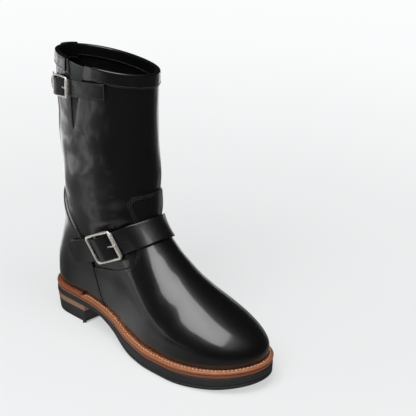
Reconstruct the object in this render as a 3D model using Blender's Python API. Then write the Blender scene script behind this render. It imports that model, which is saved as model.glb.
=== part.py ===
"""Engineer boot for the right foot, as the solids a boot maker puts together.

Lengths below are in millimetres and are scaled to metres when a mesh is made.
x runs from the rear edge of the welt to the toe, y to the inner side of the
foot, z up from the floor. The finished boot is moved so that the middle of its
footprint lies at the origin.
"""
import bpy
import bmesh
import numpy as np
from mathutils import Matrix

MM = 0.001

# Driving sizes of the last and the leg
SHAFT_HEIGHT = 312.0
COLLAR_DROP = 9.0
COLLAR_LEAN = 4.5
UPPER_LENGTH = 299.0
WELT_LENGTH = 305.0
WALL = 2.2
GAP = 0.35
FEATHER_RISE = 9.0
FEATHER_TUCK = 3.0

# Half widths of the foot: x, outer side, inner side
FOOT = ((0, 34.0, 33.0), (40, 34.5, 33.5), (80, 33.0, 31.0), (115, 34.5, 31.0),
        (150, 41.5, 38.0), (190, 48.5, 48.0), (215, 49.0, 51.5),
        (250, 45.5, 54.5), (300, 39.0, 57.0))
# Top line of the foot and how full its dome is: x, z, power
RIDGE = ((0, 162, 2.6), (80, 160, 2.2), (120, 153, 2.05), (145, 138, 1.9),
         (170, 115, 1.9), (200, 94, 1.95), (235, 79, 2.15), (265, 70, 2.25),
         (300, 64, 2.3))
# Shaft: z, rear x, front x, half width
SHAFT = ((37, 6.0, 120.0, 18.0), (50, 3.2, 123.0, 22.0), (70, 3.0, 128.0, 26.0),
         (95, 7.0, 133.0, 33.0), (120, 11.5, 137.0, 39.0),
         (145, 13.5, 139.0, 43.5), (180, 12.0, 137.5, 45.5),
         (230, 7.0, 131.5, 47.0), (280, 3.0, 131.0, 46.5),
         (320, 1.0, 133.0, 45.0))
# Rings of the upper in side view: v, rear z, front x, front z
RINGS = ((0.00, 37.5, 290, 32.5), (0.12, 50, 290, 46), (0.25, 68, 280, 60),
         (0.36, 86, 235, 79), (0.46, 104, 195, 98), (0.55, 122, 160, 120),
         (0.62, 138, 140, 141), (0.68, 156, 132, 160), (0.78, 205, 132, 205),
         (0.90, 265, 130, 260), (1.00, SHAFT_HEIGHT, 131, SHAFT_HEIGHT - COLLAR_DROP))
TOE_ROUND, TOE_POWER = 88.0, 2.35
HEEL_ROUND, HEEL_POWER = 38.0, 2.15
SHAFT_POWER = 2.15
BLEND = 350.0
SHAFT_OFFSET = 1.5

# Welt outline: x, outer half width, inner half width
WELT_PLAN = ((0, 39, 38), (40, 39, 38), (80, 38.5, 35), (115, 40, 33.5),
             (155, 49, 42), (195, 55.5, 54.5), (225, 54.5, 59), (250, 51, 61),
             (305, 44, 63))
WELT_TOE, WELT_TOE_POWER = 86.0, 2.3
WELT_HEEL, WELT_HEEL_POWER = 38.0, 2.2

# Sole heights along the foot: x, z
TREAD = ((0, 23.5), (72, 23.5), (95, 22.0), (125, 12.0), (150, 3.0), (165, 0.0),
         (235, 0.0), (270, 2.6), (305, 9.5))
OUTSOLE_TOP = ((0, 29.2), (72, 28.6), (95, 26.6), (125, 20.8), (150, 16.0),
               (170, 14.2), (200, 13.6), (240, 14.4), (275, 17.4), (305, 23.0))
# Thickness of the outsole's lower layer along the foot: x, thickness
HALF_SOLE = ((0, 0.5), (72, 0.5), (95, 1.2), (125, 3.6), (150, 4.8), (305, 5.0))
MIDSOLE = 3.6
WELT = 3.6
WELT_START = 66.0
WELT_SEAT = 10.5
HEEL_BREAST = 72.0
HEEL_RUBBER = 15.6
FEATHER_OVER_SOLE = MIDSOLE + WELT + 3 * GAP + 0.15

# Overlays on the upper: thickness of the leather
VAMP = 1.5
COUNTER = 2.1
STRAP = 2.3
CHAPE = 1.1
BINDING = 1.2
GUSSET = 1.1

# Seam between counter and vamp in side view, from below its foot to its head: x, z
SEAM = ((113.0, 16.0), (102.9, 36.0), (90.0, 62.0), (83.5, 75.0))
SEAM_GAP = 0.5
# Top edge of the vamp from the seam to the front of the leg, then round outside it: x, z
VAMP_TOP = ((86.5, 78.0), (100, 80.5), (118, 85), (132, 91), (142, 98.5), (146, 107),
            (143, 119), (136, 134), (130.5, 150), (128.0, 163), (128.5, 169), (131.5, 173.5))
VAMP_REACH = ((145.0, 177.5), (330.0, 177.5), (330.0, 0.0), (121.0, 0.0))
# Top edge of the counter from the seam to the rear, then round outside it: x, z
COUNTER_TOP = ((77.5, 86.0), (70.0, 101.5), (59.0, 114.5), (45.0, 129.0), (30.0, 144.5))
COUNTER_REACH = ((-25.0, 202.0), (-25.0, 0.0), (121.0, 0.0))
SIDE_REACH = 120.0

# Notch in the outer side of the shaft, foot first: x, z
NOTCH = ((65.5, 237.0), (87.5, 330.0), (51.0, 330.0))
# Angles round the leg, in degrees from the rear over the outer side
NOTCH_SPAN = (77.0, 113.0)
GUSSET_SPAN = (61.0, 127.0)
PULL_SPAN = 12.5
BINDING_DEPTH = 14.0
# Gusset: height from the rim, depth behind the wall
GUSSET_ROWS = ((-3.5, 2.0), (-14.0, 2.0), (-23.0, 0.5), (-50.0, 0.5), (-86.0, 0.5))

STATIONS = 20
ROUND = 34
FOOT_ROWS = (0.0, 0.04, 0.08, 0.13, 0.19, 0.25, 0.31, 0.37, 0.42, 0.47, 0.51,
             0.55, 0.58, 0.61, 0.64, 0.68, 0.73)
ROWS = FOOT_ROWS + (0.79, 0.85, 0.91, 0.96, 1.0)
VAMP_ROWS = FOOT_ROWS
COUNTER_ROWS = FOOT_ROWS


# Straps in degrees round the leg and height: top angle, top z, bottom angle, bottom z
ANKLE_ROWS = ((48.5, 96.6, 51.7, 71.4), (77.7, 112.2, 75.9, 87.2),
              (115.3, 130.7, 109.3, 106.1), (148.8, 140.6, 137.3, 117.2),
              (180.0, 143.8, 180.0, 125.0), (211.2, 140.6, 222.7, 117.2),
              (244.7, 130.7, 250.7, 106.1), (282.3, 112.2, 284.1, 87.2),
              (288.9, 108.5, 289.8, 83.5))
TOP_ROWS = ((20.0, 290.3, 20.0, 272.0), (50.0, 291.6, 51.0, 273.2),
            (74.0, 293.0, 75.0, 274.6), (100.0, 294.8, 101.0, 276.4),
            (128.0, 296.0, 129.0, 277.6))
ANKLE_CENTRE, TOP_CENTRE = 1.605, 2.06
# Buckles: half length, half width, wire radius, roller radius, prong radius, inner bar radius
ANKLE_BUCKLE = (17.4, 16.6, 1.5, 2.3, 0.8, 1.1)
TOP_BUCKLE = (11.8, 10.6, 1.1, 1.7, 0.6, 0.9)
PIVOT = 0.30
BUCKLE_GAP = 0.35
HOLE = 1.4
# Loose tails: length from the buckle, height of the strap's lower face
ANKLE_TAIL = ((-200.0, 3.0), (-62.0, 3.2), (-52.0, 4.3), (-46.0, 4.75))
ANKLE_LANDING = ((102.0, 4 * GAP + VAMP), (120.0, 1.7), (200.0, 1.7))
ANKLE_TIP = (-65.0, 13.0, 2.0)
ANKLE_HOLES = (26.5,)
ANKLE_CHAPE = -42.0
TOP_TAIL = ((-200.0, 4.6), (-26.0, 4.6))
TOP_TIP = (-25.0, 8.0, 1.3)
TOP_HOLES = (19.5,)
TOP_CHAPE = -36.0
TOP_STRAP = 2.0
# Base under the top strap's fixed end: span along the strap, point, width, drop
BASE_SPAN = (27.0, 74.0)
BASE_POINT = 7.0
BASE_WIDTH, BASE_DROP = 0.78, 0.16


def curve(table, x, column=1):
    """Smooth monotone curve through two columns of a table."""
    xs = np.array([row[0] for row in table], float)
    ys = np.array([row[column] for row in table], float)
    step = np.diff(xs)
    slope = np.diff(ys) / step
    tangent = np.zeros(len(xs))
    tangent[0], tangent[-1] = slope[0], slope[-1]
    before, after = slope[:-1], slope[1:]
    weight_a = 2 * step[1:] + step[:-1]
    weight_b = step[1:] + 2 * step[:-1]
    same = before * after > 0
    safe_a = np.where(same, before, 1.0)
    safe_b = np.where(same, after, 1.0)
    mean = (weight_a + weight_b) / (weight_a / safe_a + weight_b / safe_b)
    tangent[1:-1] = np.where(same, mean, 0.0)
    x = np.clip(np.asarray(x, float), xs[0], xs[-1])
    k = np.clip(np.searchsorted(xs, x, side="right") - 1, 0, len(xs) - 2)
    t = (x - xs[k]) / step[k]
    return ((2 * t**3 - 3 * t**2 + 1) * ys[k] + (t**3 - 2 * t**2 + t) * step[k] * tangent[k]
            + (3 * t**2 - 2 * t**3) * ys[k + 1] + (t**3 - t**2) * step[k] * tangent[k + 1])


def feather(x):
    """Height of the upper's lower edge."""
    return curve(OUTSOLE_TOP, x) + FEATHER_OVER_SOLE


def width_squared(x, z):
    """Square of the upper's half width at a point of its side view."""
    half = (curve(FOOT, x, 1) + curve(FOOT, x, 2)) / 2
    widest = feather(x) + FEATHER_RISE
    below = np.clip((widest - z) / FEATHER_RISE, 0, 1.5) ** 2
    half = half - FEATHER_TUCK * below
    lift = np.clip((z - widest) / (curve(RIDGE, x) - widest), 0, None)
    toe_start = UPPER_LENGTH - TOE_ROUND
    toe_end = UPPER_LENGTH - 0.8 * FEATHER_TUCK * below
    toe = np.clip((x - toe_start) / (toe_end - toe_start), 0, None)
    rear, front = curve(SHAFT, z, 1), curve(SHAFT, z, 2)
    heel = np.clip((rear + HEEL_ROUND - x) / HEEL_ROUND, 0, None)
    foot = half**2 * (1 - lift ** curve(RIDGE, x, 2) - toe**TOE_POWER - heel**HEEL_POWER)
    along = np.abs((x - (front + rear) / 2) / ((front - rear) / 2))
    shaft = curve(SHAFT, z, 3) ** 2 * (1 - along**SHAFT_POWER)
    near = np.clip(BLEND - np.abs(foot - shaft), 0, None)
    return np.maximum(foot, shaft) + near**2 / (4 * BLEND)


def middle(x, z):
    """Sideways place of the upper's middle line."""
    foot = (curve(FOOT, x, 2) - curve(FOOT, x, 1)) / 2
    t = np.clip((z - 60.0) / 80.0, 0, 1)
    t = t * t * (3 - 2 * t)
    return foot * (1 - t) + SHAFT_OFFSET * t


def ring_height(x, v):
    """Height of ring v of the upper at x."""
    rear, front_x, front = (curve(RINGS, v, k) for k in (1, 2, 3))
    line = rear + (front - rear) * x / front_x
    base = RINGS[0][1] + (RINGS[0][3] - RINGS[0][1]) * x / RINGS[0][2]
    fade = np.clip(1 - v / 0.40, 0, 1) ** 1.5
    return line + (feather(x) - base) * fade


def ring_ends(v):
    """Rear and front x of ring v, where the half width falls to nothing."""
    front_x = curve(RINGS, v, 2)
    ends = []
    for inside, outside in ((np.full(v.shape, 60.0), np.full(v.shape, -25.0)),
                            (np.minimum(front_x - 25.0, 110.0), front_x + 30.0)):
        for _ in range(44):
            mid = (inside + outside) / 2
            hit = width_squared(mid, ring_height(mid, v)) > 0
            inside, outside = np.where(hit, mid, inside), np.where(hit, outside, mid)
        ends.append((inside + outside) / 2)
    return ends


RING_V = np.linspace(0, 1, 201)
RING_REAR, RING_FRONT = ring_ends(RING_V)


def skin(angle, v):
    """Point of the upper's outer face: angle round it from the rear, ring v."""
    angle, v = np.broadcast_arrays(np.asarray(angle, float), np.asarray(v, float))
    rear = np.interp(v, RING_V, RING_REAR)
    front = np.interp(v, RING_V, RING_FRONT)
    share = (1 - np.cos(angle)) / 2
    x = rear + (front - rear) * share
    z = ring_height(x, v)
    left_over = (width_squared(rear, ring_height(rear, v)) * (1 - share)
                 + width_squared(front, ring_height(front, v)) * share)
    squared = np.clip(width_squared(x, z) - left_over, 0, None)
    side = np.sqrt(squared) * np.sign(np.sin(angle))
    lean = COLLAR_LEAN * np.clip((v - 0.75) / 0.25, 0, 1) ** 2
    return np.stack([x, middle(x, z) - side, z + lean * side / SHAFT[-1][3]], -1)


def outward(angle, v, step=1e-3):
    """Unit normal of the upper's outer face."""
    low, high = np.clip(v - step, 0, 1), np.clip(v + step, 0, 1)
    along = skin(angle + step, v) - skin(angle - step, v)
    up = skin(angle, high) - skin(angle, low)
    normal = np.cross(along, up)
    return normal / (np.linalg.norm(normal, axis=-1, keepdims=True) + 1e-12)


def over(angle, v, height):
    """Point at a height over the upper's outer face."""
    angle, v, height = np.broadcast_arrays(angle, v, height)
    return skin(angle, v) + outward(angle, v) * height[..., None]


def ring_at(angle, z):
    """Ring v that passes through a height at an angle."""
    angle, z = np.broadcast_arrays(np.asarray(angle, float), np.asarray(z, float))
    low, high = np.zeros(z.shape), np.ones(z.shape)
    for _ in range(36):
        mid = (low + high) / 2
        under = skin(angle, mid)[..., 2] < z
        low, high = np.where(under, mid, low), np.where(under, high, mid)
    return (low + high) / 2


def angle_at(x, z):
    """Angle and ring v of a point of the side view."""
    x, z = np.broadcast_arrays(np.asarray(x, float), np.asarray(z, float))
    low, high = np.zeros(z.shape), np.ones(z.shape)
    for _ in range(36):
        mid = (low + high) / 2
        under = ring_height(x, mid) < z
        low, high = np.where(under, mid, low), np.where(under, high, mid)
    v = (low + high) / 2
    rear, front = np.interp(v, RING_V, RING_REAR), np.interp(v, RING_V, RING_FRONT)
    return np.arccos(np.clip(1 - 2 * (x - rear) / (front - rear), -1, 1)), v


# Making solids

def finish(name, vertices, faces, material):
    """One closed body from vertices in millimetres."""
    mesh = bpy.data.meshes.new(name)
    mesh.from_pydata([tuple(p) for p in np.asarray(vertices) * MM], [], faces)
    work = bmesh.new()
    work.from_mesh(mesh)
    bmesh.ops.remove_doubles(work, verts=work.verts, dist=1e-7)
    bmesh.ops.recalc_face_normals(work, faces=work.faces)
    if work.calc_volume(signed=True) < 0:
        bmesh.ops.reverse_faces(work, faces=work.faces)
    work.to_mesh(mesh)
    work.free()
    mesh.shade_smooth()
    mesh.set_sharp_from_angle(angle=np.radians(35))
    mesh.materials.append(material)
    part = bpy.data.objects.new(name, mesh)
    bpy.context.scene.collection.objects.link(part)
    return part


def slab(name, outer, inner, material, holes=(), wrap=False):
    """Closed sheet between two equal grids, with cells of its grid left out.

    Both faces are cut into triangles along the same diagonals, so that sheets laid
    over each other on one grid keep their gap. With wrap the columns run in a ring.
    """
    outer, inner = np.asarray(outer), np.asarray(inner)
    rows, cols = outer.shape[:2]
    vertices = np.concatenate([outer.reshape(-1, 3), inner.reshape(-1, 3)])
    kept = np.ones((rows - 1, cols if wrap else cols - 1), bool)
    for row, col in holes:
        kept[row, col] = False

    def index(place, layer):
        return layer * rows * cols + place[0] * cols + place[1] % cols

    def is_kept(row, col):
        if wrap:
            col %= cols
        return 0 <= row < kept.shape[0] and 0 <= col < kept.shape[1] and kept[row, col]

    faces = []
    for r, c in zip(*(found.tolist() for found in np.nonzero(kept))):
        corners = ((r, c), (r, c + 1), (r + 1, c + 1), (r + 1, c))
        for picked in ((0, 1, 2), (0, 2, 3)):
            faces.append([index(corners[k], 0) for k in picked])
            faces.append([index(corners[k], 1) for k in reversed(picked)])
        beside = ((r - 1, c), (r, c + 1), (r + 1, c), (r, c - 1))
        for k, cell in enumerate(beside):
            if not is_kept(*cell):
                a, b = corners[k], corners[(k + 1) % 4]
                faces.append([index(b, 0), index(a, 0), index(a, 1), index(b, 1)])
    return finish(name, vertices, faces, material)


def sweep(name, sections, material, closed=False):
    """Closed body through equal closed sections."""
    sections = np.asarray(sections)
    count, size = sections.shape[:2]
    vertices = sections.reshape(-1, 3)
    faces = []
    for a in range(count if closed else count - 1):
        b = (a + 1) % count
        for k in range(size):
            n = (k + 1) % size
            faces.append([a * size + k, a * size + n, b * size + n, b * size + k])
    if not closed:
        faces.append(list(range(size))[::-1])
        faces.append([(count - 1) * size + k for k in range(size)])
    return finish(name, vertices, faces, material)


def outline(grow, start=0.0, end=WELT_LENGTH):
    """Welt outline moved out by grow: along the outer side and back on the inner."""
    u = np.linspace(0, 1, STATIONS)
    if start <= 0 and end >= WELT_LENGTH:
        share = (1 - np.cos(np.pi * u)) / 2
    elif start <= 0:
        share = 1 - np.cos(np.pi * u / 2)
    else:
        share = np.sin(np.pi * u / 2)
    x = start + (end - start) * share
    heel = np.clip((WELT_HEEL - x) / WELT_HEEL, 0, 1)
    toe = np.clip((x - WELT_LENGTH + WELT_TOE) / WELT_TOE, 0, 1)
    full = np.sqrt(np.clip(1 - heel**WELT_HEEL_POWER - toe**WELT_TOE_POWER, 0, 1))
    outer, inner = curve(WELT_PLAN, x, 1), curve(WELT_PLAN, x, 2)
    centre, half = (inner - outer) / 2, (inner + outer) / 2
    low = np.stack([x, centre - half * full], -1)
    high = np.stack([x, centre + half * full], -1)
    loop = np.concatenate([low, high[::-1]])
    near, far = [np.roll(loop, -k, 0) for k in (1, -1)], [np.roll(loop, -k, 0) for k in (2, -2)]
    after, before = (np.where(np.linalg.norm(a - loop, axis=1)[:, None] > 1e-6, a, b)
                     for a, b in zip(near, far))
    way = after - before
    normal = np.stack([way[:, 1], -way[:, 0]], -1)
    normal /= np.linalg.norm(normal, axis=1, keepdims=True)
    return loop + normal * grow


def rise(table, add=0.0):
    """Height curve along the foot from a table of the sole."""
    return lambda x: curve(table, x) + add


def level(z):
    """Height that is the same all along."""
    return lambda x: np.full(np.shape(x), float(z))


def sole_rings(rows, start, end):
    """Rings of a sole piece from rows of grow and height curve."""
    rings = []
    for grow, height in rows:
        grown = outline(grow, start, end)
        rings.append(np.column_stack([grown, height(grown[:, 0])]))
    return np.asarray(rings)


def plate(name, rows, material, start=0.0, end=WELT_LENGTH):
    """Plate of the sole, its rows running from bottom to top."""
    rings = sole_rings(rows, start, end)
    count = rings.shape[1]
    top = (len(rings) - 1) * count
    faces = []
    for row in range(len(rings) - 1):
        for k in range(count):
            n = (k + 1) % count
            a, b = row * count, (row + 1) * count
            faces.append([a + k, a + n, b + n, b + k])
    for k in range(STATIONS - 1):
        across = [k, k + 1, count - k - 2, count - k - 1]
        faces.append(across[::-1])
        faces.append([top + j for j in across])
    return finish(name, rings.reshape(-1, 3), faces, material)


def strip(name, rows, material, start=0.0, end=WELT_LENGTH):
    """Strip along the sole's edge, its section given by the rows."""
    path = sole_rings(rows, start, end).transpose(1, 0, 2)
    if start <= 0:
        path = np.concatenate([path[:STATIONS][::-1], path[STATIONS:][::-1]])
    return sweep(name, path, material)


def paint(name, colour, roughness, metallic=0.0):
    """Principled material with one colour."""
    material = bpy.data.materials.new(name)
    material.use_nodes = True
    shader = material.node_tree.nodes["Principled BSDF"]
    shader.inputs["Base Color"].default_value = (*colour, 1.0)
    shader.inputs["Roughness"].default_value = roughness
    shader.inputs["Metallic"].default_value = metallic
    return material


# Sole

def build_sole(tan, red_tan, rubber, stacked, insole_leather):
    """Outsole, midsole, welt, heel rand, insole, heel lift and heel rubber."""
    def split(share, add=0.0):
        return lambda x: curve(TREAD, x) + curve(HALF_SOLE, x) * share + add

    plate("outsole", ((-2.4, rise(TREAD)), (0.0, split(0.4)), (0.0, split(0.85)),
                      (-1.2, split(1.0)), (0.0, split(1.0, 0.7)),
                      (0.0, rise(OUTSOLE_TOP, -0.9)), (-0.8, rise(OUTSOLE_TOP))), rubber)
    low = GAP
    high = low + MIDSOLE
    plate("midsole", ((-1.4, rise(OUTSOLE_TOP, low)), (-0.4, rise(OUTSOLE_TOP, low + 0.9)),
                      (-0.4, rise(OUTSOLE_TOP, high - 0.9)),
                      (-1.4, rise(OUTSOLE_TOP, high))), tan)
    low = high + GAP
    high = low + WELT
    section = ((-WELT_SEAT, rise(OUTSOLE_TOP, low)), (-0.8, rise(OUTSOLE_TOP, low)),
               (0.2, rise(OUTSOLE_TOP, low + 1.0)), (0.2, rise(OUTSOLE_TOP, high - 1.1)),
               (-0.8, rise(OUTSOLE_TOP, high)), (-WELT_SEAT, rise(OUTSOLE_TOP, high)))
    strip("welt", section, tan, WELT_START + GAP / 2, WELT_LENGTH)
    strip("heel_rand", section, red_tan, 0.0, WELT_START - GAP / 2)
    inner = -WELT_SEAT - 3 * GAP
    plate("insole", ((inner, rise(OUTSOLE_TOP, low)), (inner, rise(OUTSOLE_TOP, high))),
          insole_leather)
    seat = TREAD[0][1]
    plate("heel_lift", ((-1.2, level(HEEL_RUBBER + GAP)), (-0.7, level(seat - GAP))),
          stacked, 0.0, HEEL_BREAST)
    plate("heel_rubber", ((-4.2, level(0.0)), (-3.4, level(1.2)),
                          (-1.4, level(HEEL_RUBBER))), rubber, 0.0, HEEL_BREAST)


# Upper and its overlays

def wall(name, rows, low, high, leather):
    """Tube between two offsets of the upper's outer face, through the given rings."""
    angle, v = np.meshgrid(np.linspace(0, 2 * np.pi, ROUND, endpoint=False), rows)
    faces = []
    for offset in (high, low):
        face = over(angle, v, offset)
        if rows[0] == 0.0:
            face[0, :, 2] = feather(face[0, :, 0])
        faces.append(face)
    return slab(name, *faces, leather, wrap=True)


def prism(name, points, rear, front, material):
    """Cutter with a side view outline, from one y to another."""
    cutter = sweep(name, [[(x, y, z) for x, z in points] for y in (rear, front)], material)
    cutter.hide_render = True
    cutter.display_type = "WIRE"
    return cutter


def cut(part, cutter, operation):
    """Exact Boolean of a part with a cutter."""
    change = part.modifiers.new(cutter.name, "BOOLEAN")
    change.operation = operation
    change.solver = "EXACT"
    change.object = cutter


def build_upper(leather):
    """Foot and shaft as one hollow wall, slit by the notch on the outer side."""
    upper = wall("upper", ROWS, -WALL, 0.0, leather)
    notch = prism("notch_cutter", NOTCH, -90.0, -15.0, leather)
    cut(upper, notch, "DIFFERENCE")


def build_overlays(leather):
    """Vamp with its tongue, and heel counter, cut from walls laid over the upper."""
    vamp_outline = [(x + SEAM_GAP, z) for x, z in SEAM] + list(VAMP_TOP) + list(VAMP_REACH)
    vamp = wall("vamp", VAMP_ROWS, GAP, GAP + VAMP, leather)
    cut(vamp, prism("vamp_cutter", vamp_outline, -SIDE_REACH, SIDE_REACH, leather), "INTERSECT")
    counter_outline = list(SEAM) + list(COUNTER_TOP) + list(COUNTER_REACH)
    counter = wall("counter", COUNTER_ROWS, GAP, GAP + COUNTER, leather)
    cut(counter, prism("counter_cutter", counter_outline, -SIDE_REACH, SIDE_REACH, leather),
        "INTERSECT")


def rim_sections(angle, section):
    """Sections at the collar: rows of height over the rim and offset."""
    angle = np.asarray(angle, float)
    rim = skin(angle, 1.0)
    path = []
    for height, offset in section:
        v = ring_at(angle, rim[:, 2] + min(height, 0.0))
        point = over(angle, np.where(height >= 0, 1.0, v), offset)
        point[:, 2] += max(height, 0.0)
        path.append(point)
    return np.stack(path, 1)


def build_collar(leather, suede):
    """Binding folded over the rim, gusset behind the notch, and back pull."""
    out, within = GAP, -WALL - GAP
    cover = BINDING
    section = ((-BINDING_DEPTH, out), (-BINDING_DEPTH, out + cover), (0.0, out + cover),
               (1.2, out + 0.4), (1.2, within - 0.4), (0.0, within - cover),
               (1 - BINDING_DEPTH, within - cover), (1 - BINDING_DEPTH, within),
               (GAP, within), (GAP, out))
    start, end = np.radians(NOTCH_SPAN[1]), np.radians(NOTCH_SPAN[0] + 360.0)
    sweep("collar_binding", rim_sections(np.linspace(start, end, 34), section), leather)
    low, high = np.radians(GUSSET_SPAN)
    angle = np.linspace(low, high, 9)
    rim = skin(angle, 1.0)[:, 2]
    faces = []
    for add in (0.0, -GUSSET):
        rows = []
        for height, offset in GUSSET_ROWS:
            v = ring_at(angle, rim + height)
            rows.append(over(angle, v, -WALL - offset + add))
        faces.append(rows)
    slab("gusset", faces[0], faces[1], suede)
    lift = out + cover + GAP
    deep = within - cover - GAP
    pull = ((-34.0, out), (-34.0, out + cover), (-18.0, out + cover), (-13.0, lift + cover),
            (1.2, lift + cover), (3.0, lift - 1.0), (3.0, deep + 1.0), (1.2, deep - cover),
            (-16.0, deep - cover), (-16.0, deep), (0.4, deep), (1.2 + GAP, deep + 0.3),
            (1.2 + GAP, lift - 0.3), (0.4, lift), (-13.0, lift), (-18.0, out))
    span = np.radians(PULL_SPAN)
    sweep("back_pull", rim_sections(np.linspace(-span, span, 5), pull), leather)


class Strap:
    """Strap laid round the leg: rows of top angle, top z, bottom angle, bottom z."""

    def __init__(self, rows, centre_row, thickness):
        self.rows = [(k, *row) for k, row in enumerate(rows)]
        self.thickness = thickness
        self.heights = ((-200.0, 0.0), (200.0, 0.0))
        self.tip = (0.0, 1.0, 1.0)
        self.row = np.linspace(0, len(rows) - 1, 121)
        low, high = self.edges(self.row)
        line = (skin(*low) + skin(*high)) / 2
        step = np.linalg.norm(np.diff(line, axis=0), axis=1)
        length = np.concatenate([[0.0], np.cumsum(step)])
        self.length = length - np.interp(centre_row, self.row, length)
        self.width = np.linalg.norm(skin(*high) - skin(*low), axis=1)

    def edges(self, row):
        """Angle and ring of the lower and the upper edge."""
        top, bottom = np.radians(curve(self.rows, row, 1)), np.radians(curve(self.rows, row, 3))
        return ((bottom, ring_at(bottom, curve(self.rows, row, 4))),
                (top, ring_at(top, curve(self.rows, row, 2))))

    def point(self, along, across, height):
        """Point at a length from the buckle, a share of the width, and a height.

        The strap is flat across: it spans the skin between its two edges, lifted
        where the skin swells between them.
        """
        along, across, height = np.broadcast_arrays(along, across, height)
        row = np.interp(along, self.length, self.row)
        low, high = self.edges(row)
        bottom, top = skin(*low), skin(*high)
        ahead = np.interp(along + 0.5, self.length, self.row)
        low_next, high_next = self.edges(ahead)
        way = skin(*low_next) + skin(*high_next) - bottom - top
        out = np.cross(way, top - bottom)
        out /= np.linalg.norm(out, axis=-1, keepdims=True)
        swell = np.zeros(along.shape)
        for share in (0.25, 0.5, 0.75):
            between = skin(low[0] + (high[0] - low[0]) * share, low[1] + (high[1] - low[1]) * share)
            chord = bottom + (top - bottom) * share
            swell = np.maximum(swell, ((between - chord) * out).sum(-1))
        share = ((1 + across) / 2)[..., None]
        return bottom + (top - bottom) * share + out * (height + swell)[..., None]

    def narrowing(self, along):
        """Share of the full width left near a shaped tip."""
        end, length, power = self.tip
        near = np.clip((end + length - along) / length, 0, 1)
        return np.clip((1 - near**power) ** (1 / power), 0.12, 1)

    def build(self, name, stations, across, holes, leather):
        """Leather of the strap between its first and last station."""
        along, side = np.meshgrid(stations, across, indexing="ij")
        side = side * self.narrowing(along)
        under = curve(self.heights, along)
        slab(name, self.point(along, side, under + self.thickness),
             self.point(along, side, under), leather, holes)


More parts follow.
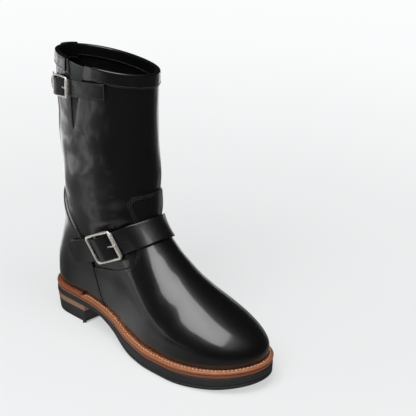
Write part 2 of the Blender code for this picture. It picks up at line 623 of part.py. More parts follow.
class Buckle:
    """Roller buckle on a strap: frame, inner bar, roller, prong, and the chape that holds it."""

    def __init__(self, strap, size, base_back, base_front, landing):
        self.strap = strap
        self.landing = landing
        self.half_length, self.half_width, self.wire, self.roller, self.prong, self.bar = size
        self.pivot = -PIVOT * self.half_length
        self.base_back, self.base_front = base_back, base_front
        self.tail = base_back + CHAPE + 3 * BUCKLE_GAP
        self.back_height = self.tail + strap.thickness + BUCKLE_GAP + self.wire
        self.front_height = base_front + strap.thickness + 4 * BUCKLE_GAP + self.roller
        share = (self.pivot + self.half_length) / (2 * self.half_length)
        between = self.back_height + (self.front_height - self.back_height) * share
        self.bar_height = between - self.wire
        self.over_bar = self.bar_height + self.bar + 2 * self.prong + 2.5 * BUCKLE_GAP
        prong_rest = self.front_height + self.roller + BUCKLE_GAP + self.prong
        self.hole = (0.25 * self.half_length, 0.66 * self.half_length)
        self.bends = (-self.half_length, 2.2 + self.wire - self.half_length,
                      self.pivot - 0.16 * self.half_length, self.pivot + 0.16 * self.half_length,
                      0.86 * self.half_length, 1.05 * self.half_length)
        self.prong_line = ((0.05 * self.half_length, self.bar_height - 0.6 * self.prong),
                           (0.26 * self.half_length, self.bar_height),
                           (0.46 * self.half_length, self.bar_height + 2.4 * self.prong),
                           (self.half_length, prong_rest),
                           (self.half_length + 1.2 * self.roller, prong_rest - 0.2 * self.prong))

    def strap_heights(self, tail):
        """Height of the strap's lower face: under the wire, over the inner bar, under the roller."""
        high, low, half = self.over_bar, self.base_front, self.half_length
        drop = high - low
        return (*tail, (-half, self.tail), (2.2 + self.wire - half, self.tail + 0.1),
                (self.pivot - 0.16 * half, high - 0.3), (self.pivot, high),
                (self.pivot + 0.16 * half, high), (0.25 * half, high - 0.30 * drop),
                (0.46 * half, high - 0.5 * drop), (0.68 * half, low + 0.27 * drop),
                (0.86 * half, low + 0.03 * drop), (1.05 * half, low), *self.landing)

    def axes(self):
        """Centre of the frame and its directions along, across and out."""
        rear = self.strap.point(-self.half_length, 0.0, self.back_height)
        fore = self.strap.point(self.half_length, 0.0, self.front_height)
        along = (fore - rear) / np.linalg.norm(fore - rear)
        ends = self.strap.point(0.0, np.array([-1.0, 1.0]), 0.0)
        across = ends[1] - ends[0]
        across -= along * (across @ along)
        across /= np.linalg.norm(across)
        return (rear + fore) / 2, along, across, np.cross(along, across)

    def build(self, prefix, metal, leather, chape_end):
        """Solids of the buckle and its chape."""
        centre, along, across, out = self.axes()
        rear = self.strap.point(-self.half_length, 0.0, self.back_height)
        half = np.linalg.norm(rear - centre)
        corner = self.half_width * 0.17
        turn = np.radians(np.arange(0, 91, 45))
        path = []
        for quarter, (sx, sy) in enumerate(((1, 1), (-1, 1), (-1, -1), (1, -1))):
            swing = turn + quarter * np.pi / 2
            for a in swing:
                path.append((sx * (half - corner) + corner * np.cos(a),
                             sy * (self.half_width - corner) + corner * np.sin(a)))
        path = np.array(path)
        way = np.roll(path, -1, 0) - np.roll(path, 1, 0)
        way /= np.linalg.norm(way, axis=1, keepdims=True)
        round_bar = np.radians(np.arange(0, 360, 45) + 22.5)
        sections = []
        for (x, y), (wx, wy) in zip(path, way):
            side = along * wy - across * wx
            spot = centre + along * x + across * y
            sections.append([spot + side * self.wire * np.cos(a) + out * self.wire * np.sin(a)
                             for a in round_bar])
        sweep(prefix + "_buckle", sections, metal, closed=True)
        fore = centre + along * half
        bore = self.wire + BUCKLE_GAP
        reach = self.half_width - self.wire - 2 * BUCKLE_GAP
        tube = []
        for a in np.radians(np.arange(0, 360, 30)):
            spoke = along * np.cos(a) + out * np.sin(a)
            tube.append([fore + spoke * radius + across * y for radius, y in
                         ((bore, -reach), (self.roller, -reach), (self.roller, reach), (bore, reach))])
        sweep(prefix + "_roller", tube, metal, closed=True)
        inner = self.strap.point(self.pivot, 0.0, self.bar_height)
        rod = [[inner + across * y + (along * np.cos(a) + out * np.sin(a)) * self.bar
                for a in round_bar] for y in (-reach, reach)]
        sweep(prefix + "_bar", rod, metal)
        self.build_prong(prefix, metal)
        self.build_chape(prefix, leather, chape_end)

    def build_prong(self, prefix, metal):
        """Prong curled round the inner bar, through the hole and over the roller."""
        loop = self.bar + BUCKLE_GAP + self.prong
        path = [(self.pivot + loop * np.cos(a), self.bar_height + loop * np.sin(a))
                for a in np.radians(np.arange(60, 301, 40))]
        path += list(self.prong_line)
        path = np.array(path)
        way = np.gradient(path, axis=0)
        way /= np.linalg.norm(way, axis=1, keepdims=True)
        side = self.prong / self.strap.width.max() * 2
        sections = []
        for (s, h), (ws, wh) in zip(path, way):
            a = np.radians(np.arange(0, 360, 60) + 30)
            sections.append(self.strap.point(s - wh * self.prong * np.cos(a), side * np.sin(a),
                                             h + ws * self.prong * np.cos(a)))
        sweep(prefix + "_prong", sections, metal)

    def build_chape(self, prefix, leather, chape_end):
        """Short strap folded round the inner bar, slotted for the prong."""
        loop = self.bar + 1.7 * BUCKLE_GAP + CHAPE / 2
        low, base = self.bar_height - loop, self.base_back + CHAPE / 2 + GAP
        path = [(chape_end, base), ((chape_end + self.pivot) / 2, base),
                (self.pivot - 4.4 * loop, base), (self.pivot - 2.2 * loop, (base + low) / 2),
                (self.pivot - 0.8 * loop, low)]
        path += [(self.pivot + loop * np.cos(a), self.bar_height + loop * np.sin(a))
                 for a in np.radians(np.arange(-90, 121, 30))]
        path = np.array(path)
        way = np.gradient(path, axis=0)
        way /= np.linalg.norm(way, axis=1, keepdims=True)
        slot = 1.7 * self.prong / self.half_width
        across = np.array([-0.82, -0.45, -slot, slot, 0.45, 0.82])
        faces = []
        for side in (-CHAPE / 2, CHAPE / 2):
            s = path[:, 0] + way[:, 1] * side
            h = path[:, 1] - way[:, 0] * side
            faces.append(self.strap.point(s[:, None], across[None], h[:, None]))
        slots = [(row, 2) for row in range(3, len(path) - 1)]
        slab(prefix + "_chape", faces[0], faces[1], leather, slots)


def hole_stations(first, last, holes, bends, step):
    """Stations along a strap, with a pair at each hole and one at each bend at the buckle."""
    plain = np.linspace(first, last, int(round((last - first) / step)) + 1)
    edges = np.array(holes).ravel()
    plain = plain[(plain < bends[0] - 0.3 * step) | (plain > bends[-1] + 0.3 * step)]
    far = np.abs(plain[:, None] - edges[None]).min(1) > 0.35 * step
    inside = ((plain[:, None] > edges[None, ::2]) & (plain[:, None] < edges[None, 1::2])).any(1)
    return np.sort(np.concatenate([plain[far & ~inside], edges, bends]))


def build_strap(prefix, rows, centre_row, thickness, size, bases, landing, tail, tip, holes,
                chape_end, leather, metal):
    """Strap with its buckle, roller, prong and chape."""
    strap = Strap(rows, centre_row, thickness)
    buckle = Buckle(strap, size, *bases, landing)
    strap.heights = buckle.strap_heights(tail)
    strap.tip = tip
    spots = [buckle.hole] + [(h - HOLE, h + HOLE) for h in holes]
    first = tip[0]
    stations = hole_stations(first, strap.length[-1], spots, buckle.bends, 7.0)
    slot = 1.7 * buckle.prong / buckle.half_width
    across = np.array([-1, -0.5, -slot, slot, 0.5, 1])
    slots = [(int(np.argmin(np.abs(stations - a))), 2) for a, _ in spots]
    strap.build(prefix + "_strap", stations, across, slots, leather)
    buckle.build(prefix, metal, leather, chape_end)
    return strap


def build_strap_base(strap, leather):
    """Pointed base stitched to the shaft under the fixed end of the top strap."""
    first, last = BASE_SPAN
    stations = np.concatenate([np.linspace(first, last - BASE_POINT, 5), [last - 0.5]])
    share = np.where(stations > last - BASE_POINT + 0.1, 0.12, 1.0) * BASE_WIDTH
    along, side = np.meshgrid(stations, np.linspace(-1, 1, 3), indexing="ij")
    side = side * share[:, None] - BASE_DROP
    slab("top_strap_base", strap.point(along, side, GAP + BINDING),
         strap.point(along, side, GAP), leather)


def centre_footprint():
    """Move every mesh so that the middle of the footprint lies at the origin."""
    meshes = [part.data for part in bpy.data.objects]
    shown = [part.data for part in bpy.data.objects if not part.hide_render]
    points = np.concatenate([[v.co[:] for v in mesh.vertices] for mesh in shown])
    middle_point = (points.min(0) + points.max(0)) / 2
    for mesh in meshes:
        mesh.transform(Matrix.Translation((-middle_point[0], -middle_point[1], 0.0)))


def main():
    for old in list(bpy.data.objects):
        bpy.data.objects.remove(old, do_unlink=True)
    black = paint("black_leather", (0.012, 0.012, 0.013), 0.22)
    tan = paint("welt_leather", (0.42, 0.17, 0.07), 0.5)
    red_tan = paint("rand_leather", (0.26, 0.075, 0.035), 0.5)
    rubber = paint("sole_rubber", (0.03, 0.03, 0.031), 0.7)
    stacked = paint("heel_leather", (0.32, 0.17, 0.1), 0.6)
    insole_leather = paint("insole_leather", (0.3, 0.18, 0.1), 0.6)
    suede = paint("gusset_suede", (0.02, 0.03, 0.03), 0.9)
    build_sole(tan, red_tan, rubber, stacked, insole_leather)
    build_upper(black)
    build_overlays(black)
    build_collar(black, suede)
    nickel = paint("nickel", (0.75, 0.72, 0.68), 0.22, 1.0)
    ankle_base = GAP * 4 + VAMP
    build_strap("ankle", ANKLE_ROWS, ANKLE_CENTRE, STRAP, ANKLE_BUCKLE,
                (GAP + COUNTER, ankle_base), ANKLE_LANDING, ANKLE_TAIL, ANKLE_TIP, ANKLE_HOLES,
                ANKLE_CHAPE, black, nickel)
    clear = [(x + SEAM_GAP, z) for x, z in SEAM[2:]] + [(x + SEAM_GAP, z) for x, z in COUNTER_TOP]
    clear += [(0.0, 150.0), (0.0, 40.0)]
    cut(bpy.data.objects["ankle_strap"], prism("strap_cutter", clear, 10.0, SIDE_REACH, black),
        "DIFFERENCE")
    top_base = 3 * GAP + BINDING
    top = build_strap("top", TOP_ROWS, TOP_CENTRE, TOP_STRAP, TOP_BUCKLE, (top_base, top_base),
                      ((200.0, top_base),), TOP_TAIL, TOP_TIP, TOP_HOLES, TOP_CHAPE, black, nickel)
    build_strap_base(top, black)
    centre_footprint()


main()
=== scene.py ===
"""Looks of the engineer boot for the right foot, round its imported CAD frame.

Every surface comes from the same functions of the last and the leg as the solids,
on finer grids. Lengths are in millimetres until a mesh is made: x from the welt's
rear to the toe, y to the inner side of the foot, z up. The frame gives the shift
that puts the middle of the footprint at the origin.
"""

import logging
from collections.abc import Callable
from dataclasses import dataclass, field
from enum import Enum
from functools import lru_cache

import bpy
import numpy as np
from mathutils import Matrix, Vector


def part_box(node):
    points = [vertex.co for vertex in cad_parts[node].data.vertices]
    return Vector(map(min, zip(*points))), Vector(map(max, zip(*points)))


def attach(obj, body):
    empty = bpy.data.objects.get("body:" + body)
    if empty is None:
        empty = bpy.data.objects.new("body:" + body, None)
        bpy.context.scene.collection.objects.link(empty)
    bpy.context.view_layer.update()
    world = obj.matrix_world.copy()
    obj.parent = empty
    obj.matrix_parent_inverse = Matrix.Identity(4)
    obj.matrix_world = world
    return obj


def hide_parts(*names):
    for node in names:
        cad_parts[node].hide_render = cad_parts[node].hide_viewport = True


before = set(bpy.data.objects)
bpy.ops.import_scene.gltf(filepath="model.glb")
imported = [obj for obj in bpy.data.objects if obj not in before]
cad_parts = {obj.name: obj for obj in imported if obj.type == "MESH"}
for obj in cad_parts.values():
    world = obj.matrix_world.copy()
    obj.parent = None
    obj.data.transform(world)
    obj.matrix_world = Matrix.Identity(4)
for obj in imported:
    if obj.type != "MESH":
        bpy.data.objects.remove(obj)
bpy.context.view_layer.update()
LOG = logging.getLogger("engineer_boot")
Table = tuple[tuple[float, ...], ...]
Array = np.ndarray
MM = 0.001

# Sizes of the last and the leg, as in the solids
SHAFT_HEIGHT, COLLAR_DROP, COLLAR_LEAN = 312.0, 9.0, 4.5
UPPER_LENGTH, WELT_LENGTH = 299.0, 305.0
WALL, GAP = 2.2, 0.35
# Place of a buckle's inner bar, as a share of its half length
PIVOT = 0.30
FEATHER_RISE, FEATHER_TUCK = 9.0, 3.0
# Half widths of the foot: x, outer side, inner side
FOOT: Table = ((0, 34.0, 33.0), (40, 34.5, 33.5), (80, 33.0, 31.0), (115, 34.5, 31.0),
               (150, 41.5, 38.0), (190, 48.5, 48.0), (215, 49.0, 51.5), (250, 45.5, 54.5),
               (300, 39.0, 57.0))
# Top line of the foot and how full its dome is: x, z, power
RIDGE: Table = ((0, 162, 2.6), (80, 160, 2.2), (120, 153, 2.05), (145, 138, 1.9),
                (170, 115, 1.9), (200, 94, 1.95), (235, 79, 2.15), (265, 70, 2.25),
                (300, 64, 2.3))
# Shaft: z, rear x, front x, half width
SHAFT: Table = ((37, 6.0, 120.0, 18.0), (50, 3.2, 123.0, 22.0), (70, 3.0, 128.0, 26.0),
                (95, 7.0, 133.0, 33.0), (120, 11.5, 137.0, 39.0), (145, 13.5, 139.0, 43.5),
                (180, 12.0, 137.5, 45.5), (230, 7.0, 131.5, 47.0), (280, 3.0, 131.0, 46.5),
                (320, 1.0, 133.0, 45.0))
# Rings of the upper in side view: v, rear z, front x, front z
RINGS: Table = ((0.00, 37.5, 290, 32.5), (0.12, 50, 290, 46), (0.25, 68, 280, 60),
                (0.36, 86, 235, 79), (0.46, 104, 195, 98), (0.55, 122, 160, 120),
                (0.62, 138, 140, 141), (0.68, 156, 132, 160), (0.78, 205, 132, 205),
                (0.90, 265, 130, 260),
                (1.00, SHAFT_HEIGHT, 131, SHAFT_HEIGHT - COLLAR_DROP))
TOE_ROUND, TOE_POWER, HEEL_ROUND, HEEL_POWER = 88.0, 2.35, 38.0, 2.15
SHAFT_POWER, BLEND, SHAFT_OFFSET = 2.15, 350.0, 1.5
# Welt outline: x, outer half width, inner half width
WELT_PLAN: Table = ((0, 39, 38), (40, 39, 38), (80, 38.5, 35), (115, 40, 33.5), (155, 49, 42),
                    (195, 55.5, 54.5), (225, 54.5, 59), (250, 51, 61), (305, 44, 63))
WELT_TOE, WELT_TOE_POWER, WELT_HEEL, WELT_HEEL_POWER = 86.0, 2.3, 38.0, 2.2
# Sole heights along the foot: x, z
TREAD: Table = ((0, 23.5), (72, 23.5), (95, 22.0), (125, 12.0), (150, 3.0), (165, 0.0),
                (235, 0.0), (270, 2.6), (305, 9.5))
OUTSOLE_TOP: Table = ((0, 29.2), (72, 28.6), (95, 26.6), (125, 20.8), (150, 16.0), (170, 14.2),
                      (200, 13.6), (240, 14.4), (275, 17.4), (305, 23.0))
HALF_SOLE: Table = ((0, 0.5), (72, 0.5), (95, 1.2), (125, 3.6), (150, 4.8), (305, 5.0))
MIDSOLE, WELT, WELT_START, WELT_SEAT = 3.6, 3.6, 66.0, 10.5
HEEL_BREAST = 72.0
FEATHER_OVER_SOLE = MIDSOLE + WELT + 3 * GAP + 0.15
# Leather of the overlays
VAMP, COUNTER, STRAP, TOP_STRAP, CHAPE, BINDING, GUSSET = 1.5, 2.1, 2.3, 2.0, 1.1, 1.2, 1.1
# Seam between counter and vamp in side view, foot first: x, z
SEAM: Table = ((104.0, 33.8), (102.9, 36.0), (90.0, 62.0), (83.5, 75.0))
VAMP_TOP: Table = ((85.0, 77.2), (100, 80.5), (118, 85), (132, 91), (142, 98.5), (146, 107),
                   (143, 119), (136, 134), (130.5, 150), (128.0, 163), (128.5, 169),
                   (131.5, 173.5), (139.0, 175.8))
COUNTER_TOP: Table = ((83.0, 76.0), (77.5, 86.0), (70.0, 101.5), (59.0, 114.5), (45.0, 129.0),
                      (30.0, 144.5), (6.0, 169.5))
# Notch in the outer side of the shaft, foot first: x, z
NOTCH: Table = ((65.5, 237.0), (87.5, 330.0), (51.0, 330.0))
NOTCH_SPAN, GUSSET_SPAN, PULL_SPAN, BINDING_DEPTH = (77.0, 113.0), (61.0, 127.0), 12.5, 14.0
# Straps in degrees round the leg and height: top angle, top z, bottom angle, bottom z
ANKLE_ROWS: Table = ((48.5, 96.6, 51.7, 71.4), (77.7, 112.2, 75.9, 87.2),
                     (115.3, 130.7, 109.3, 106.1), (148.8, 140.6, 137.3, 117.2),
                     (180.0, 143.8, 180.0, 125.0), (211.2, 140.6, 222.7, 117.2),
                     (244.7, 130.7, 250.7, 106.1), (282.3, 112.2, 284.1, 87.2),
                     (288.9, 108.5, 289.8, 83.5))
TOP_ROWS: Table = ((20.0, 290.3, 20.0, 272.0), (50.0, 291.6, 51.0, 273.2),
                   (74.0, 293.0, 75.0, 274.6), (100.0, 294.8, 101.0, 276.4),
                   (128.0, 296.0, 129.0, 277.6))
# Row of each strap where its buckle sits, and tips: place, length, power of the curve
ANKLE_CENTRE, TOP_CENTRE = 1.605, 2.06
ANKLE_TIP, TOP_TIP = (-65.0, 13.0, 2.0), (-25.0, 8.0, 1.3)
# Buckles: half length, half width, then radii of wire, roller, prong and inner bar
ANKLE_BUCKLE, TOP_BUCKLE = (17.4, 16.6, 1.5, 2.3, 0.8, 1.1), (11.8, 10.6, 1.1, 1.7, 0.6, 0.9)
# Height of the straps over the skin at their free ends and past the buckle: length, height
ANKLE_TAIL: Table = ((-200.0, 3.0), (-62.0, 3.2), (-52.0, 4.3), (-46.0, 4.75))
TOP_TAIL: Table = ((-200.0, 4.6), (-26.0, 4.6))
ANKLE_LANDING: Table = ((102.0, 4 * GAP + VAMP), (120.0, 1.7), (200.0, 1.7))
TOP_LANDING: Table = ((200.0, 3 * GAP + BINDING),)
ANKLE_CHAPE, TOP_CHAPE = -42.0, -36.0
# Holes seen in the straps, the last one with the prong in it
ANKLE_HOLES, TOP_HOLES = (26.5, 8.0), (19.5, 5.4)
# Rows of thread on the straps: length, share of the half width
ANKLE_THREAD = (((133.0, -0.9), (133.0, 0.9)),)
TOP_THREAD = (((38.0, -0.8), (38.0, 0.8), (56.5, 0.8), (56.5, -0.8), (38.0, -0.8)),)
# Creases of the upper: x and z of both ends, side (-1 outer, 1 inner, 0 both), width, depth
CREASES: Table = (
    (96, 150, 128, 158, -1, 9.0, 1.5), (70, 168, 118, 186, -1, 12.0, 1.3),
    (38, 150, 78, 160, -1, 11.0, 1.0), (92, 128, 124, 140, 0, 6.0, 0.9),
    (60, 205, 112, 222, -1, 15.0, 1.0), (20, 190, 52, 206, -1, 13.0, 0.9),
    (96, 246, 126, 232, -1, 13.0, 0.7), (22, 250, 48, 240, -1, 11.0, 0.7),
    (60, 180, 122, 168, 1, 12.0, 1.2), (40, 210, 100, 224, 1, 14.0, 1.0),
    (150, 104, 176, 84, -1, 8.0, 0.5), (205, 70, 232, 58, -1, 9.0, 0.45),
    (212, 78, 238, 66, 0, 7.0, 0.35), (186, 84, 206, 66, 1, 9.0, 0.5))


@lru_cache(maxsize=None)
def tangents(table: Table, column: int) -> tuple[Array, Array, Array, Array]:
    """Places, heights, steps and tangents of a table's column, worked out once."""
    xs = np.array([row[0] for row in table], float)
    ys = np.array([row[column] for row in table], float)
    step = np.diff(xs)
    slope = np.diff(ys) / step
    tangent = np.zeros(len(xs))
    tangent[0], tangent[-1] = slope[0], slope[-1]
    before, after = slope[:-1], slope[1:]
    weight_a, weight_b = 2 * step[1:] + step[:-1], step[1:] + 2 * step[:-1]
    same = before * after > 0
    safe_a, safe_b = np.where(same, before, 1.0), np.where(same, after, 1.0)
    mean = (weight_a + weight_b) / (weight_a / safe_a + weight_b / safe_b)
    tangent[1:-1] = np.where(same, mean, 0.0)
    return xs, ys, step, tangent


def curve(table: Table, x: Array, column: int = 1) -> Array:
    """Smooth monotone curve through two columns of a table.

    Args:
        table: rows whose first number rises.
        x: places to read.
        column: column read against the first one.

    Returns:
        Heights of the Hermite curve whose slopes are the harmonic means of the
        slopes beside each row.
    """
    if not isinstance(table, tuple):
        table = tuple(tuple(row) for row in np.asarray(table).tolist())
    xs, ys, step, tangent = tangents(table, column)
    x = np.clip(np.asarray(x, float), xs[0], xs[-1])
    k = np.clip(np.searchsorted(xs, x, side="right") - 1, 0, len(xs) - 2)
    t = (x - xs[k]) / step[k]
    return ((2 * t**3 - 3 * t**2 + 1) * ys[k] + (t**3 - 2 * t**2 + t) * step[k] * tangent[k]
            + (3 * t**2 - 2 * t**3) * ys[k + 1] + (t**3 - t**2) * step[k] * tangent[k + 1])


def feather(x: Array) -> Array:
    """Height of the upper's lower edge at x."""
    return curve(OUTSOLE_TOP, x) + FEATHER_OVER_SOLE


def width_squared(x: Array, z: Array) -> Array:
    """Square of the upper's half width: smooth maximum of foot dome and shaft oval."""
    half = (curve(FOOT, x, 1) + curve(FOOT, x, 2)) / 2
    widest = feather(x) + FEATHER_RISE
    below = np.clip((widest - z) / FEATHER_RISE, 0, 1.5) ** 2
    half = half - FEATHER_TUCK * below
    lift = np.clip((z - widest) / (curve(RIDGE, x) - widest), 0, None)
    toe_start = UPPER_LENGTH - TOE_ROUND
    toe_end = UPPER_LENGTH - 0.8 * FEATHER_TUCK * below
    toe = np.clip((x - toe_start) / (toe_end - toe_start), 0, None)
    rear, front = curve(SHAFT, z, 1), curve(SHAFT, z, 2)
    heel = np.clip((rear + HEEL_ROUND - x) / HEEL_ROUND, 0, None)
    foot = half**2 * (1 - lift ** curve(RIDGE, x, 2) - toe**TOE_POWER - heel**HEEL_POWER)
    along = np.abs((x - (front + rear) / 2) / ((front - rear) / 2))
    shaft = curve(SHAFT, z, 3) ** 2 * (1 - along**SHAFT_POWER)
    near = np.clip(BLEND - np.abs(foot - shaft), 0, None)
    return np.maximum(foot, shaft) + near**2 / (4 * BLEND)


def middle(x: Array, z: Array) -> Array:
    """Sideways place of the upper's middle line."""
    foot = (curve(FOOT, x, 2) - curve(FOOT, x, 1)) / 2
    t = np.clip((z - 60.0) / 80.0, 0, 1)
    t = t * t * (3 - 2 * t)
    return foot * (1 - t) + SHAFT_OFFSET * t


def ring_height(x: Array, v: Array) -> Array:
    """Height of ring v of the upper at x."""
    rear, front_x, front = (curve(RINGS, v, k) for k in (1, 2, 3))
    line = rear + (front - rear) * x / front_x
    base = RINGS[0][1] + (RINGS[0][3] - RINGS[0][1]) * x / RINGS[0][2]
    fade = np.clip(1 - v / 0.40, 0, 1) ** 1.5
    return line + (feather(x) - base) * fade


def unit(vectors: Array) -> Array:
    """Vectors scaled to length one."""
    return vectors / (np.linalg.norm(vectors, axis=-1, keepdims=True) + 1e-12)


def lengths(path: Array) -> Array:
    """Lengths from the start of a path to each of its points."""
    step = np.linalg.norm(np.diff(path, axis=0), axis=1)
    return np.concatenate([[0.0], np.cumsum(step)])


def halved(inside: Array, outside: Array, holds: Callable[[Array], Array], times: int) -> Array:
    """Places between two bounds up to which a condition holds, by halving."""
    for _ in range(times):
        mid = (inside + outside) / 2
        hit = holds(mid)
        inside, outside = np.where(hit, mid, inside), np.where(hit, outside, mid)
    return (inside + outside) / 2


def ring_ends(v: Array) -> list[Array]:
    """Rear and front x of the rings, where the half width falls to nothing."""
    front_x = curve(RINGS, v, 2)
    bounds = ((np.full(v.shape, 60.0), np.full(v.shape, -25.0)),
              (np.minimum(front_x - 25.0, 110.0), front_x + 30.0))
    return [halved(*pair, lambda x: width_squared(x, ring_height(x, v)) > 0, 44)
            for pair in bounds]


RING_V = np.linspace(0, 1, 801)
RING_REAR, RING_FRONT = ring_ends(RING_V)


def ends_of(v: Array) -> tuple[Array, Array]:
    """Rear and front x of rings v, read from the ends worked out once."""
    return np.interp(v, RING_V, RING_REAR), np.interp(v, RING_V, RING_FRONT)


def angle_on(x: Array, v: Array) -> Array:
    """Angle of the outer side where ring v passes x."""
    rear, front = ends_of(v)
    return np.arccos(np.clip(1 - 2 * (x - rear) / (front - rear), -1, 1))


def skin(angle: Array, v: Array) -> Array:
    """Point of the smooth outer face: angle from the rear over the outer side, ring v."""
    angle, v = np.broadcast_arrays(np.asarray(angle, float), np.asarray(v, float))
    rear, front = ends_of(v)
    share = (1 - np.cos(angle)) / 2
    x = rear + (front - rear) * share
    z = ring_height(x, v)
    left_over = (width_squared(rear, ring_height(rear, v)) * (1 - share)
                 + width_squared(front, ring_height(front, v)) * share)
    side = np.sqrt(np.clip(width_squared(x, z) - left_over, 0, None)) * np.sign(np.sin(angle))
    lean = COLLAR_LEAN * np.clip((v - 0.75) / 0.25, 0, 1) ** 2
    return np.stack([x, middle(x, z) - side, z + lean * side / SHAFT[-1][3]], -1)


def outward(angle: Array, v: Array, step: float = 1e-3) -> Array:
    """Unit normal of the smooth outer face."""
    low, high = np.clip(v - step, 0, 1), np.clip(v + step, 0, 1)
    along = skin(angle + step, v) - skin(angle - step, v)
    return unit(np.cross(along, skin(angle, high) - skin(angle, low)))


def relief(point: Array) -> Array:
    """Height of the soft creases and swells of worn leather over the smooth face.

    Each crease is a trough with the section of a bell round its line, minus half
    of a wider bell, so that the leather beside it swells. Long waves lie over all
    of the shaft and fade towards the collar, the rear and the sole.

    Args:
        point: points of the smooth face.

    Returns:
        Heights in millimetres, below nothing in a trough.
    """
    x, y, z = point[..., 0], point[..., 1], point[..., 2]
    total = np.zeros(x.shape)
    for x0, z0, x1, z1, side, width, depth in CREASES:
        long2 = (x1 - x0) ** 2 + (z1 - z0) ** 2
        t = ((x - x0) * (x1 - x0) + (z - z0) * (z1 - z0)) / long2
        near = np.clip(t, 0, 1)
        apart2 = (x - x0 - near * (x1 - x0)) ** 2 + (z - z0 - near * (z1 - z0)) ** 2
        bell = np.exp(-apart2 / width**2) - 0.5 * np.exp(-apart2 / (2.6 * width) ** 2)
        mask = 1 / (1 + np.exp(-side * y / 6.0)) if side else 1.0
        total = total - depth * bell * mask
    waves = (np.sin(x / 13.0 + 2.1 * np.sin(z / 37.0) + 0.04 * y) * np.sin(z / 19.0 + y / 31.0)
             + 0.6 * np.sin(x / 7.3 - z / 11.0 + 1.7) * np.sin(z / 27.0 + 0.6))
    shaft = np.clip((z - 120) / 40, 0, 1) * np.clip((300 - z) / 40, 0, 1)
    return total + 0.28 * waves * shaft + 0.07 * waves * np.clip((110 - z) / 40, 0, 1)


def over(angle: Array, v: Array, height: Array) -> Array:
    """Point at a height over the creased outer face."""
    angle, v, height = np.broadcast_arrays(angle, v, height)
    point = skin(angle, v)
    fade = np.clip(np.minimum(v / 0.06, (1 - v) / 0.05), 0, 1)
    return point + outward(angle, v) * (height + relief(point) * fade)[..., None]


def ring_at(angle: Array, z: Array) -> Array:
    """Ring v that passes through a height at an angle."""
    angle, z = np.broadcast_arrays(np.asarray(angle, float), np.asarray(z, float))
    return halved(np.zeros(z.shape), np.ones(z.shape), lambda v: skin(angle, v)[..., 2] < z, 30)


def angle_at(x: Array, z: Array) -> tuple[Array, Array]:
    """Angle on the outer side and ring v of a point of the side view."""
    x, z = np.broadcast_arrays(np.asarray(x, float), np.asarray(z, float))
    v = halved(np.zeros(z.shape), np.ones(z.shape), lambda v: ring_height(x, v) < z, 36)
    return angle_on(x, v), v


def outline(grow: float, start: float = 0.0, end: float = WELT_LENGTH,
            stations: int = 130) -> Array:
    """Welt outline moved out by grow: along the outer side and back on the inner."""
    u = np.linspace(0, 1, stations)
    if start <= 0 and end >= WELT_LENGTH:
        share = (1 - np.cos(np.pi * u)) / 2
    elif start <= 0:
        share = 1 - np.cos(np.pi * u / 2)
    else:
        share = np.sin(np.pi * u / 2)
    x = start + (end - start) * share
    heel = np.clip((WELT_HEEL - x) / WELT_HEEL, 0, 1)
    toe = np.clip((x - WELT_LENGTH + WELT_TOE) / WELT_TOE, 0, 1)
    full = np.sqrt(np.clip(1 - heel**WELT_HEEL_POWER - toe**WELT_TOE_POWER, 0, 1))
    outer, inner = curve(WELT_PLAN, x, 1), curve(WELT_PLAN, x, 2)
    centre, half = (inner - outer) / 2, (inner + outer) / 2
    low = np.stack([x, centre - half * full], -1)
    high = np.stack([x, centre + half * full], -1)
    loop = np.concatenate([low, high[::-1]])
    near, far = [np.roll(loop, -k, 0) for k in (1, -1)], [np.roll(loop, -k, 0) for k in (2, -2)]
    after, before = (np.where(np.linalg.norm(a - loop, axis=1)[:, None] > 1e-6, a, b)
                     for a, b in zip(near, far))
    way = unit(after - before)
    return loop + np.stack([way[:, 1], -way[:, 0]], -1) * grow


def frame_shift() -> Array:
    """Shift from boot millimetres to the frame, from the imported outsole's lowest corner."""
    corner = np.array(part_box("outsole")[0]) / MM
    own = outline(0.0, stations=20).min(0)
    return np.array([corner[0] - own[0], corner[1] - own[1], 0.0])


SHIFT = frame_shift()


@dataclass
class Surface:
    """Vertices in boot millimetres, faces, and numbers carried by each vertex."""

    points: Array
    faces: list
    marks: Array | None = None

    def join(self, other: "Surface") -> "Surface":
        """This surface and another one as one surface."""
        count = len(self.points)
        moved = [tuple(k + count for k in face) for face in other.faces]
        marks = None
        if self.marks is not None and other.marks is not None:
            marks = np.concatenate([self.marks, other.marks])
        return Surface(np.concatenate([self.points, other.points]), self.faces + moved, marks)


@dataclass
class Piece:
    """A visible piece: what it stands for, its material, and its surface."""

    name: str
    surface: Surface
    finish: bpy.types.Material
    slot: str
    stands_for: tuple[str, ...] = ()
    sharp: float = 40.0

    def build(self) -> bpy.types.Object:
        """Make the mesh in the frame's metres and tie it to the CAD part.

        Returns:
            The new object, riding on the root body.
        """
        mesh = bpy.data.meshes.new(self.name)
        points = (self.surface.points + SHIFT) * MM
        mesh.from_pydata(points.tolist(), [], self.surface.faces)
        if self.surface.marks is not None:
            layer = mesh.uv_layers.new(name="marks")
            corner = np.zeros(len(mesh.loops), np.int32)
            mesh.loops.foreach_get("vertex_index", corner)
            layer.data.foreach_set("uv", self.surface.marks[corner].astype(np.float32).ravel())
        mesh.shade_smooth()
        mesh.set_sharp_from_angle(angle=np.radians(self.sharp))
        mesh.materials.append(self.finish)
        piece = bpy.data.objects.new(self.name, mesh)
        bpy.context.scene.collection.objects.link(piece)
        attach(piece, "root")
        if self.stands_for:
            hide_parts(*self.stands_for)
        LOG.info("%s: %d faces", self.name, len(self.surface.faces))
        return piece


def as_faces(corners: Array) -> list:
    """Rows of vertex numbers as a list of faces."""
    return [tuple(face) for face in corners.tolist()]


